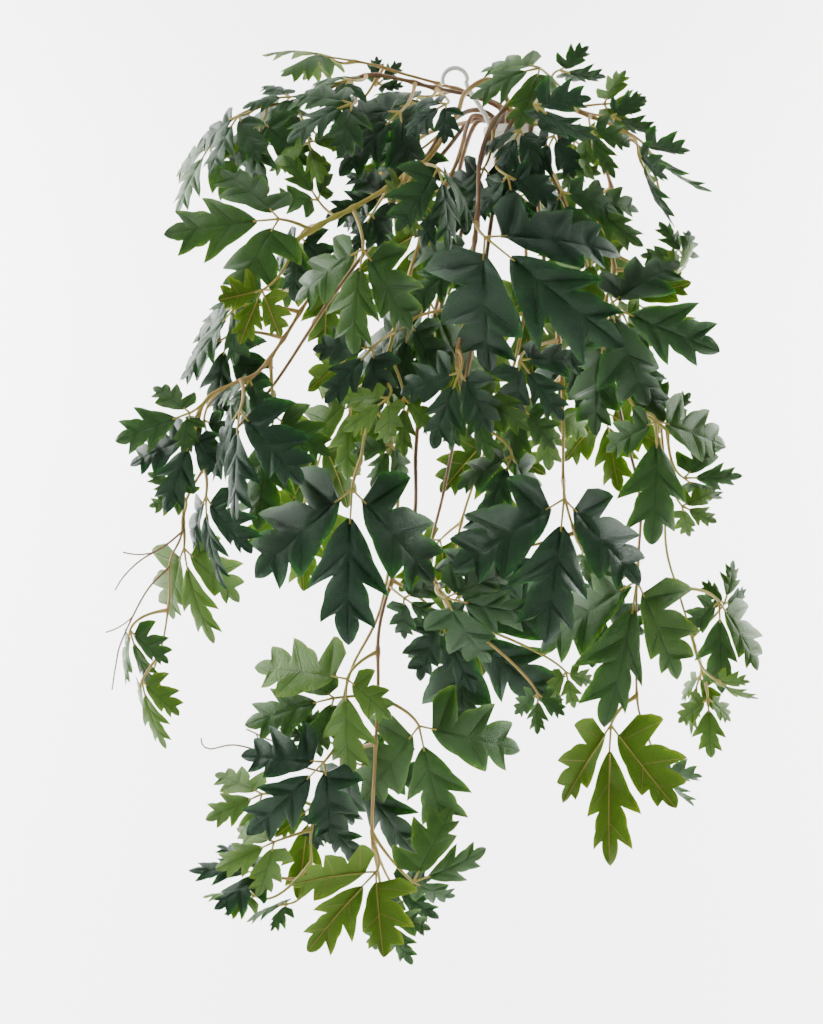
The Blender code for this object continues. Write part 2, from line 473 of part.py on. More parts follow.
    def petiole(self, root):
        """Root in the stem, bend and end of the petiole."""
        reach = (self.hub - root).length
        behind, beside = self.sway
        least, most, share = BEND
        bend = self.hub - self.along * min(most, max(least, reach * share))
        bend -= (self.normal * behind - self.left * beside) * reach
        return [root, bend.lerp(root, SPRING), self.hub]


def tree(verts, faces):
    """Search tree with its bounding ball."""
    middle = sum(verts, Vector()) / len(verts)
    return BVHTree.FromPolygons(verts, faces), middle, max((v - middle).length for v in verts)


def meets(a, b):
    """Whether two trees' surfaces cross."""
    return (a[1] - b[1]).length < a[2] + b[2] and bool(a[0].overlap(b[0]))


def sheets(leaf):
    """Three sheets that bound the space kept clear about a leaf's blade."""
    verts, tris = [], []
    for lift in (CLEAR + BLADE_T, 0.0, -CLEAR - BLADE_T):
        v, t, _, _ = leaf.mesh(GROWN, lift)
        tris += [tuple(i + len(verts) for i in tri) for tri in t]
        verts += v
    return tree(verts, tris)


def toward(azimuth):
    """Level direction at an azimuth in degrees."""
    return Vector((math.cos(math.radians(azimuth)), math.sin(math.radians(azimuth)), 0))


def vinePath(spec, shift):
    """Stem path from its hole in the filler, its middle moved forward by shift mm."""
    azimuth, ring, rise, leave = spec["stand"]
    hole = toward(azimuth) * HOLE_RINGS[ring]
    top = POT_RIM_Z - FILL_DROP
    points = [hole + Vector((0, 0, top + HOLE_LIFT)),
              hole * RIM_LEAN + Vector((0, 0, POT_RIM_Z + rise * RIM_RISE)),
              toward(leave) * SPLAY_R + Vector((0, 0, POT_RIM_Z + rise))]
    for i, (across, down, forward) in enumerate(spec["route"]):
        points.append(place(across, down, forward + shift * min(1.0, (i + 1) / 2.0)))
    foot = hole + Vector((0, 0, top - HOLE_DEPTH + HOLE_FLOOR))
    return smoothPath([foot, points[0]], STEM_STEP)[:-1] + smoothPath(points, STEM_STEP)


def stemTree(path, spec, more=0.0):
    """Search tree of a stem, made thicker by more mm."""
    r0, r1 = spec["radius"]
    thin = path[::4] + [path[-1]]
    radii = [r0 + (r1 - r0) * i / (len(thin) - 1) + more for i in range(len(thin))]
    return tree(*tube(thin, radii, STEM_SIDES))


def cut(line, near, far):
    """Part of a bent line that keeps near mm from its start and far mm from its end."""
    a = line[0] + (line[1] - line[0]).normalized() * min(near, (line[1] - line[0]).length * 0.9)
    b = line[-1] + (line[-2] - line[-1]).normalized() * min(far, (line[-2] - line[-1]).length * 0.9)
    return [a] + line[1:-1] + [b]


def rod(line, radius):
    return tree(*tube(line, [radius] * len(line), 4))


def tendrilLine(line):
    return smoothPath([place(*p) for p in line], TENDRIL_STEP)


def kinked(path, root, petiole):
    """Whether a petiole would leave along its stem or fold back on itself."""
    start, end = petiole[1] - petiole[0], petiole[2] - petiole[1]
    lean = (path[root + 1] - path[root - 1]).angle(start)
    return not LEAN[0] < lean < LEAN[1] or start.angle(end) > KINK


def crowds(path, root, petiole, other):
    """Whether a petiole would leave the stem beside another one and the same way."""
    if abs(root - other.root) > CROWD[0]:
        return False
    line = path[root + 1] - path[root - 1]
    a, b = ((p[1] - p[0]).cross(line) for p in (petiole, other.petiole))
    return a.angle(b) < CROWD[1]


def placeStems(fixed):
    """For each vine a path, with its search tree, that stays clear of the other stems and the fixed trees."""
    stems = {}
    for name, spec in VINES.items():
        best = None
        for shift in STEM_SHIFTS:
            path = vinePath(spec, shift)
            wide = stemTree(path[HOLE_STEPS:], spec, CLEAR)
            hits = sum(meets(wide, other) for other in [s[1] for s in stems.values()] + fixed)
            if best is None or hits < best[0]:
                best = (hits, path)
            if hits == 0:
                break
        if best[0]:
            print("stem not clear:", name)
        stems[name] = (best[1], stemTree(best[1], spec))
    return stems


def petioleHits(name, path, root, petiole, leaf, blades, stems, fixed, sprigs):
    """Number of faults of a petiole: what it meets, kinks, and neighbours that it crowds."""
    reach = (leaf.hub - path[root]).length
    stalk = rod(cut(petiole, 3, 1), STALK_W + CLEAR)
    hits = sum(meets(stalk, stems[other][1]) for other in stems if other != name)
    hits += sum(meets(stalk, other) for other in fixed)
    hits += sum(meets(stalk, other.blades) + meets(stalk, other.stalk) for other in sprigs)
    hits += meets(rod(cut(petiole, 1, 8), STALK_W + 0.5), blades)
    hits += kinked(path, root, petiole)
    hits += sum(crowds(path, root, petiole, other) for other in sprigs if other.vine == name)
    return hits + meets(rod(cut(petiole, min(14, reach * 0.6), 1), STALK_W + 0.5), stems[name][1])


def placeLeaf(name, number, row, stems, fixed, sprigs):
    """First pose of a leaf, of those tried in turn, that is clear of everything placed before it."""
    path = stems[name][0]
    first = next(i for i, p in enumerate(path) if math.hypot(p.x, p.y) > BARE_R)
    best, seen = None, {}
    for tilt, shift, hop, sway in product(TILTS, SHIFTS, HOPS, SWAYS):
        leaf = Leaf(row, name + str(number), shift, tilt, sway)
        if (tilt, shift) not in seen:
            wide = sheets(leaf)
            hits = sum(meets(wide, other[1]) for other in stems.values())
            hits += sum(meets(wide, other) for other in fixed)
            hits += sum(meets(wide, other.blades) + meets(wide, other.stalk) for other in sprigs)
            seen[tilt, shift] = hits, tree(*leaf.mesh()[:2])
        hits, blades = seen[tilt, shift]
        if hits and best and best[1] < 2:
            continue
        back = leaf.hub - leaf.along * PETIOLE
        root = max(first, min(range(first, len(path) - 3), key=lambda i: (path[i] - back).length) - hop)
        petiole = leaf.petiole(path[root])
        hits += petioleHits(name, path, root, petiole, leaf, blades, stems, fixed, sprigs)
        score = hits + (leaf.hub - path[root]).length * 1e-4
        if best is None or score < best[0]:
            best = (score, hits, leaf, root, petiole, blades)
        if hits == 0:
            break
    _, hits, leaf, root, petiole, blades = best
    if hits:
        print("leaf not clear:", name, number)
    return Sprig(name, leaf, root, petiole, blades, rod(cut(petiole, 5, 1), STALK_W * 1.2))


def layOut(fixed):
    """Stems and sprigs placed round the fixed trees and the tendrils."""
    stems = placeStems(fixed)
    for spec in VINES.values():
        for line in spec.get("tendrils", ()):
            fixed.append(rod(cut(tendrilLine(line), 6, 0.1), TENDRIL_R[0] + CLEAR))
    sprigs = []
    for name, spec in VINES.items():
        for number, row in enumerate(spec["leaves"]):
            sprigs.append(placeLeaf(name, number, row, stems, fixed, sprigs))
    return stems, sprigs


def sag(path, i, j):
    """How far the path strays from the straight line between two of its points, in mm."""
    line = path[j] - path[i]
    return max((path[k] - path[i]).cross(line).length for k in range(i, j)) / line.length


def between(path, i, j):
    """Rings needed between two points of a path to keep within SAG of it."""
    marks, start = [], i
    while True:
        end = start + 1
        while end < j and sag(path, start, end + 1) < SAG:
            end += 1
        if end >= j:
            return marks
        marks.append(end)
        start = end


def stemRings(path, roots):
    """Indices along the path where a stem has rings, and for each root the first ring of its joint."""
    joints = []
    for root in sorted(set(roots)):
        if joints and root - joints[-1][0] < JOINT_REACH:
            joints[-1].append(root)
        else:
            joints.append([root])
    rings, joint = [0, HOLE_STEPS], {}
    for group in joints:
        middle = max(round(sum(group) / len(group)), rings[-1] + 3)
        middle = min(middle, len(path) - 4)
        rings += between(path, rings[-1], middle - 1)
        for root in group:
            joint[root] = len(rings)
        rings += [middle - 1, middle + 1]
    rings += between(path, rings[-1], len(path) - 1) + [len(path) - 1]
    return rings, joint


def quad(n, k):
    """Corners of a stem's face k between its rings n and n + 1."""
    a, b = n * STEM_SIDES + k, n * STEM_SIDES + (k + 1) % STEM_SIDES
    return a, b, b + STEM_SIDES, a + STEM_SIDES


def band(ring, other):
    """Triangles between two rings of four corners."""
    faces = []
    for k in range(4):
        m = (k + 1) % 4
        faces += [(ring[k], ring[m], other[m]), (ring[k], other[m], other[k])]
    return faces


def collar(verts, corner, centre):
    """Middle of a stem's face, and a narrower ring of corners raised from it."""
    middle = sum((verts[v] for v in corner), Vector()) / 4
    out = (verts[corner[1]] - verts[corner[0]]).cross(verts[corner[3]] - verts[corner[0]]).normalized()
    if out.dot(middle - centre) < 0:
        out = -out
    shrink = min(COLLAR_SHARE, COLLAR_R / max((verts[v] - middle).length for v in corner))
    start = len(verts)
    verts += [middle + (verts[v] - middle) * shrink + out * COLLAR_RISE for v in corner]
    return middle, tuple(range(start, start + 4))


def grow(verts, faces, corner, centre, kind, thing):
    """Leaf with its petiole, or tendril, grown from one face of a stem."""
    middle, foot = collar(verts, corner, centre)
    faces += band(corner, foot)
    if kind == "leaf":
        part, tris, hub, ends = thing.mesh()
        start = len(verts)
        verts += part
        faces += [tuple(v + start for v in tri) for tri in tris]
        ring = tuple(v + start for v in (ends[0], hub[0], ends[3], hub[1]))
        line = thing.petiole(centre)[1:-1] if (thing.hub - middle).length > SHORT_PETIOLE else []
        widths, beyond, up = [STALK_W * PETIOLE_SWELL] * len(line), thing.hub, thing.normal
    else:
        ring, line = None, thing[1:]
        thick, thin = TENDRIL_R
        widths = [thick + (thin - thick) * (j + 1) / len(line) for j in range(len(line))]
        beyond, up = line[-1] * 2 - line[-2], (line[-1] - line[-2]).normalized().orthogonal()
    for j in reversed(range(len(line))):
        ahead = line[j + 1] if j + 1 < len(line) else beyond
        behind = line[j - 1] if j else middle
        t = ((ahead - line[j]).normalized() + (line[j] - behind).normalized()).normalized()
        up = (up - t * up.dot(t)).normalized()
        half = t.cross(up)
        new = tuple(range(len(verts), len(verts) + 4))
        verts += [line[j] + offset * widths[j] for offset in (half, up, -half, -up)]
        faces += band(ring, new) if ring else [new[:3], (new[0], new[2], new[3])]
        ring = new
    turns = [tuple(ring[(m + way * k) % 4] for k in range(4)) for m in range(4) for way in (1, -1)]
    nearest = min(turns, key=lambda turn: sum((verts[a] - verts[b]).length for a, b in zip(foot, turn)))
    faces += band(foot, nearest)


def vineMesh(path, spec, sprouts):
    """Stem whose joints carry sprouts (root, kind, leaf or path), all in one closed mesh."""
    rings, joint = stemRings(path, [root for root, _, _ in sprouts])
    joints = {n + k for n in joint.values() for k in (0, 1)}
    carried = frames(path)
    r0, r1 = spec["radius"]
    verts, faces, taken = [], [], set()
    for n, i in enumerate(rings):
        radius = (r0 + (r1 - r0) * i / (len(path) - 1)) * (JOINT_SWELL if n in joints else 1.0)
        _, s, up = carried[i]
        for k in range(STEM_SIDES):
            a = 2 * math.pi * k / STEM_SIDES
            verts.append(path[i] + (s * math.cos(a) + up * math.sin(a)) * radius)
    for root, kind, thing in sprouts:
        n, centre = joint[root], path[root]
        aim = (thing.petiole(centre)[1] if kind == "leaf" else thing[1]) - centre
        free = [k for k in range(STEM_SIDES) if (n, k) not in taken]
        k = max(free, key=lambda k: (sum((verts[v] for v in quad(n, k)), Vector()) / 4 - centre).dot(aim))
        taken.add((n, k))
        grow(verts, faces, quad(n, k), centre, kind, thing)
    for n in range(len(rings) - 1):
        faces += [quad(n, k) for k in range(STEM_SIDES) if (n, k) not in taken]
    faces.append(tuple(range(STEM_SIDES)))
    faces.append(tuple(range((len(rings) - 1) * STEM_SIDES, len(rings) * STEM_SIDES)))
    return verts, faces


def shaded(name, data, colour, roughness, group):
    """Object of a mesh or curve with its own material, in a collection."""
    look = bpy.data.materials.new(name)
    look.use_nodes = True
    shader = look.node_tree.nodes["Principled BSDF"]
    shader.inputs["Base Color"].default_value = (*colour, 1)
    shader.inputs["Roughness"].default_value = roughness
    look.diffuse_color = (*colour, 1)
    data.materials.append(look)
    item = bpy.data.objects.new(name, data)
    group.objects.link(item)
    return item


def turned(name, profile, colour, roughness, group):
    """Turned piece: (radius, height) in mm from the axis, down the outside and back to the axis."""
    mesh = bpy.data.meshes.new(name)
    edges = [(i, i + 1) for i in range(len(profile) - 1)]
    mesh.from_pydata([(r * MM, 0, z * MM) for r, z in profile], edges, [])
    item = shaded(name, mesh, colour, roughness, group)
    turn = item.modifiers.new("turn", "SCREW")
    turn.steps = turn.render_steps = POT_SIDES
    turn.use_merge_vertices = True
    turn.merge_threshold = 0.01 * MM
    return item


def pot(group):
    foot = POT_RIM_Z - POT_HEIGHT
    under = POT_RIM_Z - POT_LIP
    profile = ((0, foot + POT_WALL), (POT_FOOT_R - POT_WALL, foot + POT_WALL),
               (POT_TOP_R - POT_WALL, POT_RIM_Z), (POT_LIP_R, POT_RIM_Z), (POT_LIP_R, under),
               (POT_TOP_R, under), (POT_FOOT_R, foot), (0, foot))
    return turned("pot", profile, (0.80, 0.79, 0.76), 0.45, group)


def innerRadius(z):
    """Radius of the pot's inside at height z."""
    foot = POT_RIM_Z - POT_HEIGHT + POT_WALL
    return POT_FOOT_R - POT_WALL + (POT_TOP_R - POT_FOOT_R) * (z - foot) / (POT_RIM_Z - foot)


def filler(group, cutters):
    """Plug that fills the pot, with a plain hole for each stem."""
    low, top = POT_RIM_Z - POT_HEIGHT + POT_WALL + GAP, POT_RIM_Z - FILL_DROP
    trim = math.cos(math.pi / POT_SIDES)
    profile = ((0, top), ((innerRadius(top) - GAP) * trim, top),
               ((innerRadius(low) - GAP) * trim, low), (0, low))
    plug = turned("filler", profile, (0.10, 0.07, 0.05), 0.95, group)
    for name, spec in VINES.items():
        foot = vinePath(spec, 0)[0] - Vector((0, 0, HOLE_FLOOR))
        radius = (spec["radius"][0] + GAP) / math.cos(math.pi / HOLE_SIDES) * MM
        bar = bmesh.new()
        middle = Vector((foot.x, foot.y, (foot.z + POT_RIM_Z) / 2)) * MM
        bmesh.ops.create_cone(bar, cap_ends=True, segments=HOLE_SIDES, radius1=radius, radius2=radius,
                              depth=(POT_RIM_Z - foot.z) * MM, matrix=Matrix.Translation(middle))
        mesh = bpy.data.meshes.new("hole_" + name)
        bar.to_mesh(mesh)
        bar.free()
        hole = bpy.data.objects.new("hole_" + name, mesh)
        hole.hide_render, hole.display_type = True, "WIRE"
        cutters.objects.link(hole)
    drill = plug.modifiers.new("holes", "BOOLEAN")
    drill.operation, drill.solver = "DIFFERENCE", "EXACT"
    drill.operand_type, drill.collection = "COLLECTION", cutters
    return plug


def hookPath(side, legX, crookTop):
    """Centre line of a hook: under the pot's lip, up past the rim and round a crook that opens outwards."""
    away = Vector((math.cos(HOOK_TURN), math.sin(HOOK_TURN), 0)) * side
    bend = GAP + WIRE_R
    low, out = POT_RIM_Z - POT_LIP - bend, POT_LIP_R + bend
    path = [away * (POT_TOP_R + WIRE_REST + GAP) + Vector((0, 0, low))]
    for k in range(4):
        a = math.radians(30 * k)
        path.append(away * (POT_LIP_R + bend * math.sin(a)) + Vector((0, 0, low + bend * (1 - math.cos(a)))))
    path.append(away * out + Vector((0, 0, POT_RIM_Z + LEG_RISE)))
    leg = Vector((legX, away.y * out, crookTop - ARC_R))
    path += [leg - Vector((0, 0, LEG_TOP)), leg]
    for k in range(1, 9):
        a = math.radians(ARC_TURN * k / 8)
        path.append(leg + Vector((side * ARC_R * (1 - math.cos(a)), 0, ARC_R * math.sin(a))))
    return path


def hook(name, spec, group):
    """Round wire along a hook's centre line, with closed ends."""
    line = bpy.data.curves.new(name, "CURVE")
    line.dimensions = "3D"
    line.bevel_depth, line.bevel_resolution, line.use_fill_caps = WIRE_R * MM, 2, True
    path = hookPath(*spec)
    spline = line.splines.new("POLY")
    spline.points.add(len(path) - 1)
    for point, where in zip(spline.points, path):
        point.co = (*(where * MM), 1)
    return shaded(name, line, (0.86, 0.86, 0.84), 0.35, group)


def vine(name, path, sprigs, group):
    """One vine with everything that grows from it, in one closed mesh with outward faces."""
    spec = VINES[name]
    sprouts = [(sprig.root, "leaf", sprig.leaf) for sprig in sprigs]
    for line in spec.get("tendrils", ()):
        line = tendrilLine(line)
        root = min(range(len(path)), key=lambda i: (path[i] - line[0]).length)
        sprouts.append((root, "tendril", [path[root]] + line[1:]))
    verts, faces = vineMesh(path, spec, sprouts)
    mesh = bpy.data.meshes.new("vine_" + name)
    mesh.from_pydata([v * MM for v in verts], [], faces)
    work = bmesh.new()
    work.from_mesh(mesh)
    bmesh.ops.remove_doubles(work, verts=work.verts, dist=1e-7)
    bmesh.ops.recalc_face_normals(work, faces=work.faces)
    work.to_mesh(mesh)
    work.free()
    return shaded("vine_" + name, mesh, TONES[spec["tone"]], 0.5, group)


def solidTree(item):
    """Search tree, in mm, of an object as its modifiers leave it."""
    graph = bpy.context.evaluated_depsgraph_get()
    mesh = item.evaluated_get(graph).to_mesh()
    return tree([v.co / MM for v in mesh.vertices], [tuple(p.vertices) for p in mesh.polygons])


plant = bpy.data.collections.new("hanging_grape_ivy")
cutters = bpy.data.collections.new("cutters")
for group in (plant, cutters):
    bpy.context.scene.collection.children.link(group)

gear = [pot(plant)] + [hook("hook_" + name, spec, plant) for name, spec in HOOKS.items()]
filler(plant, cutters)
bpy.context.view_layer.update()
stems, sprigs = layOut([solidTree(item) for item in gear])
for name in VINES:
    vine(name, stems[name][0], [sprig for sprig in sprigs if sprig.vine == name], plant)
print("vines", len(stems), "leaves", len(sprigs))
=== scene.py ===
import json
import math
import random
from collections import namedtuple
from itertools import product

import bpy
import numpy as np
from mathutils import Matrix, Vector
from mathutils.bvhtree import BVHTree

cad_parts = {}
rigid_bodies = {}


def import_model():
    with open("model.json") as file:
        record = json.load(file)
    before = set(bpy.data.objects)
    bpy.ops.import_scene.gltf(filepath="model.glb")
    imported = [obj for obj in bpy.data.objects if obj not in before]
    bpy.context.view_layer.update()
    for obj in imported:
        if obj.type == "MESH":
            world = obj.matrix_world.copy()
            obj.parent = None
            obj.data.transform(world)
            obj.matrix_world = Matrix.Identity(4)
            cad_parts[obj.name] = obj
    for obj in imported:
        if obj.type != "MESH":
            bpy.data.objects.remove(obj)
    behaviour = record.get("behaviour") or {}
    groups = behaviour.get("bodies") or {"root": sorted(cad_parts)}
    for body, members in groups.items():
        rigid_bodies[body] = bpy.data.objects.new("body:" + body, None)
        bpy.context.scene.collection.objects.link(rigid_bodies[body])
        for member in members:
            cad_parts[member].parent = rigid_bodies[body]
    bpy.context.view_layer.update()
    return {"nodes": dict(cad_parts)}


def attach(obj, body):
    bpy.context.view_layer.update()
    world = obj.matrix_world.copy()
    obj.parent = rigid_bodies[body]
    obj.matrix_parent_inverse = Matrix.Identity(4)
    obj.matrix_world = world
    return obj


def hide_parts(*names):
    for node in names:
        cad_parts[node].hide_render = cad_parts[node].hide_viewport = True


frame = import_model()
print("frame loaded")

# The drawing is a front elevation: its places are (across, down, forward) in mm, drawn in along sight lines.
drawing = {
    "across": 512.0,  # where the pot's axis stands
    "down": 74.0,     # the hooks' bearing height
    "eye": Vector((-100.5, -2300.0, -438.0)),
}
gap = 0.3             # mm between neighbouring pieces

potSize = {           # mm
    "rim": -54.0, "height": 62.0, "topR": 26.4, "footR": 23.6, "wall": 1.4, "lipR": 28.6, "lip": 7.0,
    "fillDrop": 6.0,
}
holeSize = {"depth": 18.0, "rings": (10.2, 18.6), "steps": 10, "floor": 1.0, "lift": 3.0}   # mm
stemRun = {           # what places the stems; lengths in mm
    "sides": 4, "step": 2.0, "splay": 41.0, "bare": 40.0, "rimLean": 1.1, "rimRise": 0.6,
    "tendril": 1.0, "tendrilStep": 26.0,
    "shifts": (0, 8, -8, 16, -16, 25, -25, 35, -35, 46, -46, 58, -58),
}
leafSize = {          # what places the leaves; lengths in mm
    "blade": 0.55, "hub": 1.25, "stalkThick": 0.95, "stalkWide": 1.1, "petiole": 26.0, "grown": 1.2,
    "bend": (6.0, 15.0, 0.42), "spring": 0.16,
    "spread": ((52, 0.84), (52, 0.84)),         # degrees and size of the side leaflets where a row gives none
    "fullWidth": math.radians(54),              # between two leaflets that are both at full width
    "stalks": {"middle": 0.19, "side": 0.12},   # of the leaf's length
    "falls": {"middle": (-0.05, 0.15), "side": (0.0, 0.38)},     # radians a leaflet drops
    "twists": {"middle": (-0.2, 0.2), "side": (-0.45, 0.12)},    # radians a leaflet turns about its rib
    "sizes": ((72.0, "small"), (112.0, "medium")),
}
search = {            # what is tried in turn to keep a leaf clear of the rest
    "clear": 1.5, "tilts": (0.0, 14.0, -14.0), "hops": (0, 8, 16),
    "shifts": (0, 8, -8, 16, -16, 25, -25, 35, -35, 46, -46, 58, -58, 72, -72, 88, -88, 106, -106),
    "sways": ((0.14, 0.0), (0.32, 0.0), (-0.06, 0.0), (0.14, 0.3), (0.14, -0.3), (-0.3, 0.0)),
    "lean": (math.radians(32), math.radians(150)), "kink": math.radians(88), "crowd": (6, math.radians(70)),
}
Sprig = namedtuple("Sprig", "vine leaf root petiole blades stalk")


def place(across, down, forward):
    # Point in mm for a place on the elevation, drawn in or out along the sight line by its depth.
    k = (drawing["eye"].y + forward) / drawing["eye"].y
    x, z = across - drawing["across"], drawing["down"] - down
    eye = drawing["eye"]
    return Vector((eye.x + (x - eye.x) * k, -forward, eye.z + (z - eye.z) * k))


def smoothPath(points, step):
    # Catmull-Rom curve through the points, sampled about every step mm.
    ends = [points[0] * 2 - points[1]] + list(points) + [points[-1] * 2 - points[-2]]
    out = []
    for i in range(1, len(ends) - 2):
        a, b, c, d = ends[i - 1:i + 3]
        parts = max(1, round((c - b).length / step))
        for j in range(parts):
            t = j / parts
            out.append(0.5 * (2 * b + (c - a) * t + (2 * a - 5 * b + 4 * c - d) * t * t
                              + (3 * b - a - 3 * c + d) * t ** 3))
    out.append(points[-1].copy())
    return out


def frames(path):
    # Tangent, side and normal at each point of a path, carried along it without twist.
    tangents = []
    for i in range(len(path)):
        tangents.append((path[min(i + 1, len(path) - 1)] - path[max(i - 1, 0)]).normalized())
    side = tangents[0].orthogonal()
    out = []
    for t in tangents:
        side = (side - t * side.dot(t)).normalized()
        out.append((t, side, t.cross(side)))
    return out


def tube(path, radii, sides):
    # Closed round bar along a path, radii in mm at its points.
    verts, faces = [], []
    for point, radius, (t, s, n) in zip(path, radii, frames(path)):
        for k in range(sides):
            a = 2 * math.pi * k / sides
            verts.append(point + s * math.cos(a) * radius + n * math.sin(a) * radius)
    for i in range(len(path) - 1):
        for k in range(sides):
            a, b = i * sides + k, i * sides + (k + 1) % sides
            faces.append((a, b, b + sides, a + sides))
    faces.append(tuple(reversed(range(sides))))
    faces.append(tuple(range((len(path) - 1) * sides, len(path) * sides)))
    return verts, faces


